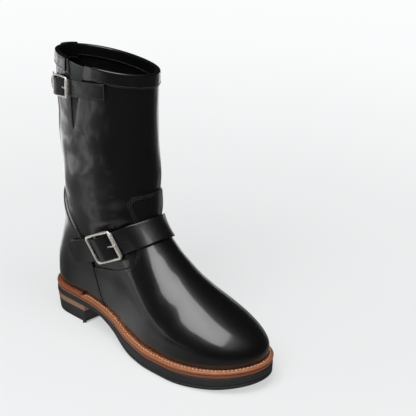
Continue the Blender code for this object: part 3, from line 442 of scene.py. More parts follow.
def grid_faces(rows: int, cols: int, wrap: bool = False, first: int = 0,
               flip: bool = False) -> list:
    """Quads of a grid of vertices whose columns may close into a ring."""
    r, c = np.meshgrid(np.arange(rows - 1), np.arange(cols if wrap else cols - 1), indexing="ij")
    n = (c + 1) % cols
    quads = np.stack([r * cols + c, r * cols + n, (r + 1) * cols + n, (r + 1) * cols + c], -1)
    quads = quads.reshape(-1, 4) + first
    return as_faces(quads[:, ::-1] if flip else quads)


def turned_out(surface: Surface) -> Surface:
    """The same surface with its faces turned so that its volume is above nothing."""
    total = 0.0
    p = surface.points
    sizes = np.array([len(face) for face in surface.faces])
    for size in np.unique(sizes):
        group = np.array([surface.faces[k] for k in np.flatnonzero(sizes == size)])
        for k in range(1, size - 1):
            wedge = np.cross(p[group[:, k]], p[group[:, k + 1]])
            total += float((p[group[:, 0]] * wedge).sum())
    if total < 0:
        surface.faces = [face[::-1] for face in surface.faces]
    return surface


def sheet(outer: Array, inner: Array, wrap: bool = False, marks: Array | None = None) -> Surface:
    """Closed sheet between two equal grids, its faces turned outwards."""
    rows, cols = outer.shape[:2]
    count = rows * cols
    faces = grid_faces(rows, cols, wrap) + grid_faces(rows, cols, wrap, count, True)
    k = np.arange(cols if wrap else cols - 1)
    n = (k + 1) % cols
    last = (rows - 1) * cols
    rims = [np.stack([n, k, k + count, n + count], -1),
            np.stack([k + last, n + last, n + last + count, k + last + count], -1)]
    if not wrap:
        r = np.arange(rows - 1) * cols
        rims.append(np.stack([r, r + cols, r + cols + count, r + count], -1))
        e = r + cols - 1
        rims.append(np.stack([e + cols, e, e + count, e + cols + count], -1))
    for rim in rims:
        faces += as_faces(rim)
    points = np.concatenate([outer.reshape(-1, 3), inner.reshape(-1, 3)])
    if marks is not None:
        marks = np.concatenate([marks.reshape(-1, 2)] * 2)
    return turned_out(Surface(points, faces, marks))


def tube(sections: Array, closed: bool = False, marks: Array | None = None) -> Surface:
    """Body through equal closed sections, capped unless it closes on itself."""
    count, size = sections.shape[:2]
    points = sections.reshape(-1, 3)
    faces = grid_faces(count, size, True)
    if closed:
        k = np.arange(size)
        n = (k + 1) % size
        last = (count - 1) * size
        faces += as_faces(np.stack([k + last, n + last, n, k], -1))
    else:
        faces.append(tuple(range(size))[::-1])
        faces.append(tuple((count - 1) * size + k for k in range(size)))
    return turned_out(Surface(points, faces, None if marks is None else marks.reshape(-1, 2)))


def soften(section: Array, times: int = 2, closed: bool = True) -> Array:
    """Corner cutting of a polygon: each side is cut at a quarter and three quarters."""
    section = np.asarray(section, float)
    for _ in range(times):
        ahead = np.roll(section, -1, 0) if closed else section[1:]
        here = section if closed else section[:-1]
        cut = np.stack([here * 0.75 + ahead * 0.25, here * 0.25 + ahead * 0.75], 1)
        cut = cut.reshape(-1, section.shape[1])
        section = cut if closed else np.concatenate([section[:1], cut, section[-1:]])
    return section


def resample(path: Array, count: int) -> tuple[Array, Array]:
    """Even steps along a path. Returns the share of its index, and the lengths."""
    length = lengths(path)
    even = np.linspace(0, length[-1], count)
    return np.interp(even, length, np.arange(len(path))), even


def slide(angle: Array, v: Array, toward: Array, distance: float) -> tuple[Array, Array]:
    """Move places of the skin by a distance along directions laid in the skin.

    Args:
        angle: angles of the places.
        v: rings of the places.
        toward: unit directions, tangent to the skin.
        distance: how far to go, in millimetres.

    Returns:
        Angles and rings of the moved places, found from the two slopes of the
        skin by least squares, in two half steps.
    """
    for _ in range(2):
        a = (skin(angle + 1e-3, v) - skin(angle - 1e-3, v)) / 2e-3
        b = (skin(angle, v + 1e-3) - skin(angle, v - 1e-3)) / 2e-3
        aa, bb, ab = (a * a).sum(-1), (b * b).sum(-1), (a * b).sum(-1)
        want_a, want_b = (a * toward).sum(-1), (b * toward).sum(-1)
        det = aa * bb - ab * ab + 1e-9
        angle = angle + (want_a * bb - want_b * ab) / det * distance / 2
        v = v + (want_b * aa - want_a * ab) / det * distance / 2
    return angle, v


def stitches(path: Array, normal: Array, pitch: float, radius: float, sink: float = 0.45,
             share: float = 0.74) -> Surface:
    """Row of thread stitches along a path: each one a bent capsule.

    Args:
        path: points along the row.
        normal: outward normals at those points.
        pitch: length of one stitch with its hole.
        radius: radius of the thread.
        sink: how deep the ends dip into the holes, in radii.
        share: part of the pitch that the thread covers.

    Returns:
        All stitches of the row as one surface.
    """
    length = lengths(path)
    count = max(1, int(length[-1] / pitch))
    t = np.linspace(0, 1, 6)
    pitch = length[-1] / count
    at = (np.arange(count)[:, None] + (1 - share) / 2 + share * t[None]) * pitch
    spot = np.stack([np.interp(at, length, path[:, k]) for k in range(3)], -1)
    out = unit(np.stack([np.interp(at, length, normal[:, k]) for k in range(3)], -1))
    way = unit(np.gradient(spot, axis=1))
    side = unit(np.cross(way, out))
    lift = radius * (np.sin(np.pi * t) ** 0.5 * (0.35 + sink) - sink)
    full = radius * np.array([0.55, 0.95, 1.0, 1.0, 0.95, 0.55])
    turn = np.radians(np.arange(0, 360, 60))
    ring = (spot[:, :, None] + out[:, :, None] * lift[None, :, None, None]
            + full[None, :, None, None] * (side[:, :, None] * np.cos(turn)[None, None, :, None]
                                           + out[:, :, None] * np.sin(turn)[None, None, :, None]))
    points = ring.reshape(-1, 3)
    one = grid_faces(6, 6, True) + [(5, 4, 3, 2, 1, 0), (30, 31, 32, 33, 34, 35)]
    faces = [tuple(int(k) + n * 36 for k in face) for n in range(count) for face in one]
    return turned_out(Surface(points, faces))


def joined(surfaces: list[Surface]) -> Surface:
    """Several surfaces as one."""
    total = surfaces[0]
    for one in surfaces[1:]:
        total = total.join(one)
    return total


def skin_row(angle: Array, v: Array, height: float, pitch: float, radius: float) -> Surface:
    """Row of stitches over places of the skin."""
    index, _ = resample(over(angle, v, 0.0), len(angle) * 2)
    angle = np.interp(index, np.arange(len(angle)), angle)
    v = np.interp(index, np.arange(len(v)), v)
    return stitches(over(angle, v, height), outward(angle, v), pitch, radius)


@dataclass
class Overlay:
    """Panel over the skin between the sole and an edge given in side view, both sides.

    The edge runs from the sole up its seam and along its top to the middle line.
    Lines of the panel's grid join the edge to the sole, so the edge is a row of
    the grid.
    """

    name: str
    seam: Table
    top: Table
    at_front: bool
    thickness: float
    rows: tuple[float, ...]
    edge: list = field(default_factory=list)

    def trace(self) -> tuple[Array, Array]:
        """Angles and rings of the edge on the outer side, in even steps."""
        places = []
        for part in (self.seam, self.top):
            table = np.array(part, float)
            s = lengths(table)
            t = np.linspace(0, s[-1], 160)
            xs = curve(np.column_stack([s, table[:, 0]]), t)
            zs = curve(np.column_stack([s, table[:, 1]]), t)
            places.append(angle_at(xs, zs))
        angle = np.concatenate([p[0] for p in places])
        v = np.concatenate([p[1] for p in places])
        angle[-1] = np.pi if self.at_front else 0.0
        index, _ = resample(skin(angle, v), 220)
        angle = np.interp(index, np.arange(len(angle)), angle)
        v = np.interp(index, np.arange(len(v)), v)
        v[0] = 0.0
        return angle, v

    def build(self) -> Surface:
        """The panel as a closed sheet with a rounded edge."""
        angle, v = self.trace()
        target = np.pi if self.at_front else 0.0
        u = np.linspace(0, 1, len(angle))
        bottom = angle[0] + (target - angle[0]) * u**0.85
        angle = np.concatenate([angle, 2 * np.pi * self.at_front - angle[::-1][1:]])
        bottom = np.concatenate([bottom, 2 * np.pi * self.at_front - bottom[::-1][1:]])
        v = np.concatenate([v, v[::-1][1:]])
        self.edge = [angle, v]
        t = np.concatenate([np.linspace(0, 0.96, 64), [0.972, 0.982, 0.989, 0.994, 0.997, 1.0]])
        high = GAP + self.thickness * np.where(
            t > 0.985, 0.45 + 0.55 * np.sqrt(np.clip(1 - ((t - 0.985) / 0.015) ** 2, 0, 1)), 1.0)
        grid_angle = bottom[None] + (angle - bottom)[None] * t[:, None]
        grid_v = v[None] * t[:, None]
        outer = over(grid_angle, grid_v, high[:, None])
        inner = over(grid_angle, grid_v, np.full((len(t), 1), -0.3))
        return sheet(outer, inner)

    def rows_of_thread(self) -> Surface:
        """Rows of stitches inside the edge."""
        angle, v = self.edge
        path = skin(angle, v)
        way = unit(np.gradient(path, axis=0))
        side = np.cross(outward(angle, v), way)
        inside = skin(np.full(1, np.pi if self.at_front else 0.0), np.full(1, 0.3))[0]
        side = side * np.sign(((inside - path) * side).sum())
        rows = []
        for distance in self.rows:
            a, b = slide(angle, v, side, distance)
            keep = (b > 0.015) & (np.arange(len(a)) > 4) & (np.arange(len(a)) < len(a) - 5)
            rows.append(skin_row(a[keep], b[keep], GAP + self.thickness + 0.02, 2.5, 0.3))
        return joined(rows)


def build_shell() -> Surface:
    """Foot and shaft as one wall whose columns start and end at the notch."""
    rows = np.concatenate([np.linspace(0, 0.72, 120), np.linspace(0.7225, 1.0, 70)])
    share = np.linspace(0, 1, 261)
    edges = []
    for k in (1, 2):
        x = np.full(rows.shape, NOTCH[0][0])
        for _ in range(6):
            z = ring_height(x, rows)
            t = np.clip((z - NOTCH[0][1]) / (NOTCH[k][1] - NOTCH[0][1]), 0, 1)
            x = NOTCH[0][0] + t * (NOTCH[k][0] - NOTCH[0][0])
        edges.append(angle_on(x, rows))
    start, end = edges[0], edges[1] + 2 * np.pi
    angle = start[:, None] + (end - start)[:, None] * share[None]
    v = np.broadcast_to(rows[:, None], angle.shape)
    edge = np.minimum(np.arange(261), np.arange(261)[::-1])
    notched = (rows > rows[np.argmax(edges[0] - edges[1] > 1e-6)])[:, None]
    drop = np.where(notched & (edge[None] == 0), 0.7, 0.0)
    outer, inner = over(angle, v, -drop), over(angle, v, -WALL + drop)
    for face in (outer, inner):
        face[0, :, 2] = feather(face[0, :, 0])
    return sheet(outer, inner)


def rim_sections(angle: Array, section: Array) -> Array:
    """Sections at the collar: rows of height over the rim and offset from the skin."""
    angle = np.asarray(angle, float)
    rim = skin(angle, 1.0)
    path = []
    for height, offset in np.asarray(section, float):
        v = ring_at(angle, rim[:, 2] + min(height, 0.0))
        point = over(angle, np.where(height >= 0, 1.0, v), np.full(angle.shape, offset))
        point[:, 2] += max(height, 0.0)
        path.append(point)
    return np.stack(path, 1)


def rim_row(first: float, last: float, height: float, offset: float, pitch: float = 2.5,
            radius: float = 0.3, inward: bool = False) -> Surface:
    """Row of stitches round the collar between two angles in degrees."""
    angle = np.linspace(np.radians(first), np.radians(last), int(abs(last - first) * 1.2) + 8)
    v = ring_at(angle, skin(angle, 1.0)[:, 2] + height)
    normal = outward(angle, v) * (-1 if inward else 1)
    return stitches(over(angle, v, np.full(angle.shape, offset)), normal, pitch, radius)


@dataclass
class Strap:
    """Strap laid round the leg, flat across, with its height given along it."""

    rows: Table
    centre_row: float
    thickness: float
    tip: tuple[float, float, float]
    heights: Table = ((-200.0, 0.0), (200.0, 0.0))

    def __post_init__(self) -> None:
        self.numbered = tuple((k, *row) for k, row in enumerate(self.rows))
        self.row = np.linspace(0, len(self.rows) - 1, 401)
        low, high = self.edges(self.row)
        length = lengths((skin(*low) + skin(*high)) / 2)
        self.length = length - np.interp(self.centre_row, self.row, length)
        self.width = float(np.linalg.norm(skin(*high) - skin(*low), axis=1).max())

    def edges(self, row: Array) -> tuple[tuple[Array, Array], tuple[Array, Array]]:
        """Angle and ring of the lower and the upper edge."""
        top = np.radians(curve(self.numbered, row, 1))
        bottom = np.radians(curve(self.numbered, row, 3))
        return ((bottom, ring_at(bottom, curve(self.numbered, row, 4))),
                (top, ring_at(top, curve(self.numbered, row, 2))))

    def point(self, along: Array, across: Array, height: Array) -> Array:
        """Point at a length from the buckle, a share of the width, and a height.

        The strap spans the skin between its two edges, lifted where the skin
        swells between them.
        """
        along, across, height = np.broadcast_arrays(along, across, height)
        keys, back = np.unique(along, return_inverse=True)
        back = back.reshape(along.shape)
        row = np.interp(keys, self.length, self.row)
        low, high = self.edges(row)
        bottom, top = skin(*low), skin(*high)
        ahead = self.edges(np.interp(keys + 0.5, self.length, self.row))
        out = unit(np.cross(skin(*ahead[0]) + skin(*ahead[1]) - bottom - top, top - bottom))
        swell = np.zeros(keys.shape)
        for share in (0.25, 0.5, 0.75):
            between = skin(low[0] + (high[0] - low[0]) * share, low[1] + (high[1] - low[1]) * share)
            chord = bottom + (top - bottom) * share
            swell = np.maximum(swell, ((between - chord) * out).sum(-1))
        share = ((1 + across) / 2)[..., None]
        return (bottom[back] + (top - bottom)[back] * share
                + out[back] * (height + swell[back])[..., None])

    def build(self, last: float) -> Surface:
        """Leather of the strap from its tip, edges rounded, marks of length and place across."""
        end, length, power = self.tip
        along = np.concatenate([end + length * np.linspace(0, 1, 26) ** 1.6,
                                np.arange(end + length + 0.9, last, 0.9), [last]])
        near = np.clip((end + length - along) / length, 0, 1)
        narrow = np.clip((1 - near**power) ** (1 / power), 0.03, 1)
        side = np.concatenate([[-1, -0.985, -0.95, -0.9], np.linspace(-0.8, 0.8, 9),
                               [0.9, 0.95, 0.985, 1]])
        drop = np.clip((np.abs(side) - 0.94) / 0.06, 0, 1) ** 2 * 0.3
        along2, side2 = np.meshgrid(along, side, indexing="ij")
        under = curve(self.heights, along2)
        cup = 0.25 * (side2**2 - 0.4)
        across = side2 * narrow[:, None]
        outer = self.point(along2, across, under + self.thickness * (1 - drop[None]) + cup)
        inner = self.point(along2, across, under + self.thickness * drop[None] + cup)
        marks = np.stack([along2, across * self.width / 2], -1)
        return sheet(outer, inner, marks=marks)

    def row_of_thread(self, places: list[tuple[float, float]], height: float | None = None,
                      pitch: float = 2.5, radius: float = 0.36) -> Surface:
        """Row of stitches through places given by length and share of the width."""
        table = np.array(places, float)
        index = np.linspace(0, len(table) - 1, 40 * (len(table) - 1) + 1)
        along = np.interp(index, np.arange(len(table)), table[:, 0])
        across = np.interp(index, np.arange(len(table)), table[:, 1])
        base = curve(self.heights, along) + self.thickness if height is None else height
        path = self.point(along, across, base + 0.02)
        normal = self.point(along, across, base + 1.0) - path
        return stitches(path, normal, pitch, radius)


@dataclass
class Buckle:
    """Roller buckle on a strap: frame, roller, prong, and the chape that holds it."""

    strap: Strap
    size: tuple[float, float, float, float, float, float]
    bases: tuple[float, float]
    landing: Table

    def __post_init__(self) -> None:
        self.half_length, self.half_width, self.wire, self.roller, self.prong, self.bar = self.size
        self.pivot = -PIVOT * self.half_length
        self.tail = self.bases[0] + CHAPE + 3 * GAP
        self.back_height = self.tail + self.strap.thickness + GAP + self.wire
        self.front_height = self.bases[1] + self.strap.thickness + 4 * GAP + self.roller
        share = (self.pivot + self.half_length) / (2 * self.half_length)
        between = self.back_height + (self.front_height - self.back_height) * share
        self.bar_height = between - self.wire
        self.over_bar = self.bar_height + self.bar + 2 * self.prong + 2.5 * GAP

    def strap_heights(self, tail: Table) -> Table:
        """Height of the strap's lower face: under the wire, over the bar, under the roller."""
        high, low, half = self.over_bar, self.bases[1], self.half_length
        drop = high - low
        return (*tail, (-half, self.tail), (2.2 + self.wire - half, self.tail + 0.1),
                (self.pivot - 0.16 * half, high - 0.3), (self.pivot, high),
                (self.pivot + 0.16 * half, high), (0.25 * half, high - 0.30 * drop),
                (0.46 * half, high - 0.5 * drop), (0.68 * half, low + 0.27 * drop),
                (0.86 * half, low + 0.03 * drop), (1.05 * half, low), *self.landing)

    def axes(self) -> tuple[Array, Array, Array, Array]:
        """Centre of the frame and its directions along, across and out."""
        rear = self.strap.point(-self.half_length, 0.0, self.back_height)
        fore = self.strap.point(self.half_length, 0.0, self.front_height)
        along = unit(fore - rear)
        ends = self.strap.point(0.0, np.array([-1.0, 1.0]), 0.0)
        across = ends[1] - ends[0]
        across = unit(across - along * (across @ along))
        return (rear + fore) / 2, along, across, np.cross(along, across)

    def metal(self) -> tuple[Surface, Surface, Surface]:
        """Frame bent from round wire, the roller on its front bar, and the inner bar."""
        centre, along, across, out = self.axes()
        rear = self.strap.point(-self.half_length, 0.0, self.back_height)
        half = float(np.linalg.norm(rear - centre))
        corner = self.half_width * 0.2
        path = []
        for quarter, (sx, sy) in enumerate(((1, 1), (-1, 1), (-1, -1), (1, -1))):
            for a in np.radians(np.arange(0, 91, 10)) + quarter * np.pi / 2:
                path.append((sx * (half - corner) + corner * np.cos(a),
                             sy * (self.half_width - corner) + corner * np.sin(a)))
        path = np.array(path)
        way = unit(np.roll(path, -1, 0) - np.roll(path, 1, 0))
        turn = np.radians(np.arange(0, 360, 20))
        side = along[None] * way[:, 1:] - across[None] * way[:, :1]
        spot = centre + along * path[:, :1] + across * path[:, 1:]
        sections = (spot[:, None] + side[:, None] * (self.wire * np.cos(turn))[None, :, None]
                    + out[None, None] * (self.wire * np.sin(turn))[None, :, None])
        frame_body = tube(sections, closed=True)
        fore = centre + along * half
        reach = self.half_width - self.wire - 1.2 * GAP
        profile = np.array([(self.wire + 0.15, -reach), (self.roller - 0.25, -reach),
                            (self.roller, -reach + 0.3), (self.roller, reach - 0.3),
                            (self.roller - 0.25, reach), (self.wire + 0.15, reach)])
        turn = np.radians(np.arange(0, 360, 12))
        spoke = along[None] * np.cos(turn)[:, None] + out[None] * np.sin(turn)[:, None]
        rings = (fore + spoke[:, None] * profile[None, :, :1]
                 + across[None, None] * profile[None, :, 1:])
        inner = self.strap.point(self.pivot, 0.0, self.bar_height)
        ends = np.array([(0.01, -reach), (self.bar, -reach), (self.bar, reach), (0.01, reach)])
        rod = (inner + spoke[:, None] * ends[None, :, :1] + across[None, None] * ends[None, :, 1:])
        return frame_body, tube(rings, closed=True), tube(rod, closed=True)

    def tongue(self) -> Surface:
        """Prong curled round the inner bar, through the hole and over the roller."""
        half, loop = self.half_length, self.bar + GAP + self.prong
        rest = self.front_height + self.roller + GAP + self.prong
        path = [(self.pivot + loop * np.cos(a), self.bar_height + loop * np.sin(a))
                for a in np.radians(np.arange(60, 301, 12))]
        path += [(0.05 * half, self.bar_height - 0.6 * self.prong), (0.26 * half, self.bar_height),
                 (0.46 * half, self.bar_height + 2.4 * self.prong), (half, rest),
                 (half + 1.2 * self.roller, rest - 0.2 * self.prong)]
        path = soften(np.array(path), 2, closed=False)
        way = unit(np.gradient(path, axis=0))
        thick = self.prong * np.where(np.arange(len(path)) > len(path) - 3, 0.72, 1.0)
        side = thick / self.strap.width * 2
        turn = np.radians(np.arange(0, 360, 36))
        s = path[:, :1] - way[:, 1:] * thick[:, None] * np.cos(turn)[None]
        h = path[:, 1:] + way[:, :1] * thick[:, None] * np.cos(turn)[None]
        return tube(self.strap.point(s, side[:, None] * np.sin(turn)[None], h))

    def chape(self, end: float) -> Surface:
        """Short strap folded round the inner bar."""
        loop = self.bar + 1.7 * GAP + CHAPE / 2
        low, base = self.bar_height - loop, self.bases[0] + CHAPE / 2 + GAP
        path = [(end, base), ((end + self.pivot) / 2, base), (self.pivot - 4.4 * loop, base),
                (self.pivot - 2.2 * loop, (base + low) / 2), (self.pivot - 0.8 * loop, low)]
        path += [(self.pivot + loop * np.cos(a), self.bar_height + loop * np.sin(a))
                 for a in np.radians(np.arange(-90, 121, 15))]
        path = soften(np.array(path), 1, closed=False)
        way = unit(np.gradient(path, axis=0))
        across = np.linspace(-0.82, 0.82, 9)
        faces = []
        for side in (-CHAPE / 2, CHAPE / 2):
            s, h = path[:, 0] + way[:, 1] * side, path[:, 1] - way[:, 0] * side
            faces.append(self.strap.point(s[:, None], across[None], h[:, None]))
        return sheet(faces[0], faces[1])


@dataclass(frozen=True)
class Layer:
    """Plate or strip of the sole: rows of grow, share of the top curve, share of the
    half sole, and height added."""

    rows: Table
    start: float = 0.0
    end: float = WELT_LENGTH
    flat: bool = False

    def rings(self, cuts: int) -> Array:
        """Rings of the layer, bottom first, their corners cut round."""
        rings = []
        for grow, share, half, add in soften(np.array(self.rows, float), cuts, self.flat):
            grown = outline(grow, self.start, self.end)
            x = grown[:, 0]
            z = (curve(TREAD, x) * (1 - share) + curve(OUTSOLE_TOP, x) * share
                 + curve(HALF_SOLE, x) * half + add)
            rings.append(np.column_stack([grown, z]))
        return np.array(rings)

    def plate(self, cuts: int = 1) -> Surface:
        """Closed plate, its two faces filled across."""
        rings = self.rings(cuts)
        rows, count = rings.shape[:2]
        faces = grid_faces(rows, count, True)
        k = np.arange(count // 2 - 1)
        across = np.stack([k, k + 1, count - k - 2, count - k - 1], -1)
        faces += as_faces(across[:, ::-1]) + as_faces(across + (rows - 1) * count)
        marks = np.stack(np.broadcast_arrays(lengths(rings[0])[None], rings[..., 2]), -1)
        return turned_out(Surface(rings.reshape(-1, 3), faces, marks.reshape(-1, 2)))

    def strip(self) -> Surface:
        """Strip along the edge, its section a closed polygon."""
        rings = self.rings(2)
        path = rings.transpose(1, 0, 2)
        half = path.shape[0] // 2
        if self.start <= 0:
            path = np.concatenate([path[:half][::-1], path[half:][::-1]])
        marks = np.stack(np.broadcast_arrays(lengths(path.mean(1))[:, None], path[..., 2]), -1)
        return tube(path, marks=marks)


LOW_WELT = GAP + MIDSOLE + GAP
# Sections of the sole's layers, each row as Layer gives it
STRIP_ROWS: Table = ((-WELT_SEAT, 1, 0, LOW_WELT), (-2.0, 1, 0, LOW_WELT),
                     (-0.5, 1, 0, LOW_WELT + 0.1), (0.35, 1, 0, LOW_WELT + 0.9),
                     (0.35, 1, 0, LOW_WELT + WELT - 1.0), (-0.5, 1, 0, LOW_WELT + WELT - 0.1),
                     (-2.0, 1, 0, LOW_WELT + WELT), (-WELT_SEAT, 1, 0, LOW_WELT + WELT))
EDGE_ROWS: Table = ((-1.7, 1, 0, GAP - 0.3), (-0.6, 1, 0, GAP + 0.1), (-0.3, 1, 0, GAP + 1.0),
                    (-0.3, 1, 0, GAP + MIDSOLE - 1.0), (-0.6, 1, 0, GAP + MIDSOLE - 0.1),
                    (-2.2, 1, 0, GAP + MIDSOLE + 0.2))
OUTSOLE_ROWS: Table = ((-3.0, 0, 0, 0.0), (-2.0, 0, 0, 0.15), (-0.2, 0, 0.1, 1.2),
                       (0.0, 0, 0.4, 0.0), (0.0, 0, 0.86, 0.0), (-0.6, 0, 0.97, 0.0),
                       (-1.3, 0, 1.0, 0.1), (-0.5, 0, 1.0, 0.5), (0.0, 0, 1.0, 0.9),
                       (0.0, 0.5, 0.5, 0.0), (0.0, 1, 0, -1.0), (-0.3, 1, 0, -0.3),
                       (-1.2, 1, 0, 0.0))
HEEL_ROWS: Table = ((-4.6, 0, 0, -23.5), (-3.7, 0, 0, -23.3), (-3.3, 0, 0, -22.3),
                    (-2.4, 0, 0, -15.0), (-1.5, 0, 0, -8.2), (-1.8, 0, 0, -7.9))
LIFT_ROWS: Table = ((-1.5, 0, 0, -7.6), (-1.15, 0, 0, -7.2), (-0.8, 0, 0, -0.6),
                    (-1.1, 0, 0, -0.35))


class Nodes:
    """Short way to add and join shader nodes in one tree."""

    def __init__(self, tree: bpy.types.NodeTree) -> None:
        self.tree = tree

    def add(self, kind: str, inputs: dict | None = None, **settings: object) -> bpy.types.Node:
        """New node with settings, and inputs given as numbers or as sockets to join."""
        node = self.tree.nodes.new(kind)
        for key, value in settings.items():
            setattr(node, key, value)
        for key, value in (inputs or {}).items():
            self.feed(node, key, value)
        return node

    def group(self, tree: bpy.types.NodeTree, inputs: dict) -> bpy.types.Node:
        """Node of a shared group with its values."""
        node = self.tree.nodes.new("ShaderNodeGroup")
        node.node_tree = tree
        for key, value in inputs.items():
            self.feed(node, key, value)
        return node

    def feed(self, node: bpy.types.Node, key: str | int, value: object) -> None:
        """Give an input a number, or join a socket to it."""
        if isinstance(value, bpy.types.NodeSocket):
            self.tree.links.new(value, node.inputs[key])
        else:
            node.inputs[key].default_value = value

    def maths(self, operation: str, a: object, b: object = 0.0, c: object = 0.0) -> object:
        """Output of a Math node."""
        return self.add("ShaderNodeMath", {0: a, 1: b, 2: c}, operation=operation).outputs[0]

    def noise(self, vector: object, scale: float, detail: float = 2.0,
              rough: float = 0.5) -> object:
        """Factor of a noise texture."""
        node = self.add("ShaderNodeTexNoise", {"Vector": vector, "Scale": scale,
                                               "Detail": detail, "Roughness": rough})
        return node.outputs["Fac"]

    def ramp(self, value: object, low: float, high: float, start: float = 0.0,
             end: float = 1.0) -> object:
        """Smooth step of a value from start to end between low and high."""
        node = self.add("ShaderNodeMapRange", {"Value": value, "From Min": low,
                                               "From Max": high, "To Min": start,
                                               "To Max": end}, interpolation_type="SMOOTHSTEP")
        return node.outputs["Result"]

    def blend(self, factor: object, a: object, b: object) -> object:
        """Mix of two colours."""
        node = self.add("ShaderNodeMix", {0: factor, 6: a, 7: b}, data_type="RGBA")
        return node.outputs[2]


def shade(colour: tuple[float, ...], factor: float = 1.0, add: float = 0.0) -> tuple[float, ...]:
    """Colour made lighter or darker, with full alpha."""
    return (*(min(1.0, c * factor + add) for c in colour), 1.0)


def new_group(name: str, inputs: dict[str, tuple[str, object]],
              outputs: dict[str, str]) -> bpy.types.NodeTree:
    """Shader group with named inputs and outputs."""
    tree = bpy.data.node_groups.new(name, "ShaderNodeTree")
    for key, (kind, value) in inputs.items():
        socket = tree.interface.new_socket(key, in_out="INPUT", socket_type=kind)
        if value is not None:
            socket.default_value = value
    for key, kind in outputs.items():
        tree.interface.new_socket(key, in_out="OUTPUT", socket_type=kind)
    return tree


def hide_group() -> bpy.types.NodeTree:
    """Surface of hide: pores, fine wrinkles and the soft pull of leather over a last.

    Heights come out in metres, with a mask of the pores.
    """
    tree = new_group("hide", {"Vector": ("NodeSocketVector", None),
                              "Pores": ("NodeSocketFloat", 1.0),
                              "Pull": ("NodeSocketFloat", 1.0)},
                     {"Height": "NodeSocketFloat", "Pores": "NodeSocketFloat"})
    n = Nodes(tree)
    into, out = n.add("NodeGroupInput"), n.add("NodeGroupOutput")
    vector = into.outputs["Vector"]
    cells = n.add("ShaderNodeTexVoronoi", {"Vector": vector, "Scale": 1100.0},
                  feature="DISTANCE_TO_EDGE").outputs["Distance"]
    pores = n.ramp(cells, 0.0, 0.18)
    fine = n.maths("MULTIPLY", n.noise(vector, 700.0, 3.0), 2.2e-5)
    height = n.maths("MULTIPLY_ADD", pores, 1.1e-5, fine)
    height = n.maths("MULTIPLY", height, into.outputs["Pores"])
    wide = n.maths("MULTIPLY", n.noise(vector, 26.0, 1.5), 9.0e-4)
    mid = n.maths("MULTIPLY_ADD", n.noise(vector, 75.0, 2.0), 1.9e-4, wide)
    height = n.maths("MULTIPLY_ADD", mid, into.outputs["Pull"], height)
    n.feed(out, "Height", height)
    n.feed(out, "Pores", pores)
    return tree


def wear_group() -> bpy.types.NodeTree:
    """Mask of scuffs and dust: fine streaks that gather in blotches."""
    tree = new_group("wear", {"Vector": ("NodeSocketVector", None),
                              "Amount": ("NodeSocketFloat", 0.5)},
                     {"Mask": "NodeSocketFloat"})
    n = Nodes(tree)
    into, out = n.add("NodeGroupInput"), n.add("NodeGroupOutput")
    vector = into.outputs["Vector"]
    stretched = n.add("ShaderNodeMapping", {"Vector": vector, "Scale": (1.0, 1.0, 4.0),
                                            "Rotation": (0.3, 0.2, 0.6)}).outputs[0]
    streak = n.ramp(n.noise(stretched, 160.0, 5.0, 0.7), 0.5, 0.75)
    blotch = n.ramp(n.noise(vector, 18.0, 3.0), 0.42, 0.7)
    mask = n.maths("MULTIPLY", n.maths("MULTIPLY", streak, blotch), into.outputs["Amount"])
    n.feed(out, "Mask", mask)
    return tree


@dataclass(frozen=True)
class Finish:
    """Numbers of one material."""

    name: str
    colour: tuple[float, float, float]
    roughness: float
    coat: float = 0.0
    pores: float = 1.0
    pull: float = 1.0
    wear: float = 0.2
    holes: tuple[float, ...] = ()


class Kind(Enum):
    """Families of materials."""

    HIDE = "hide"
    EDGE = "edge"
    RUBBER = "rubber"
    METAL = "metal"
    THREAD = "thread"
    SUEDE = "suede"


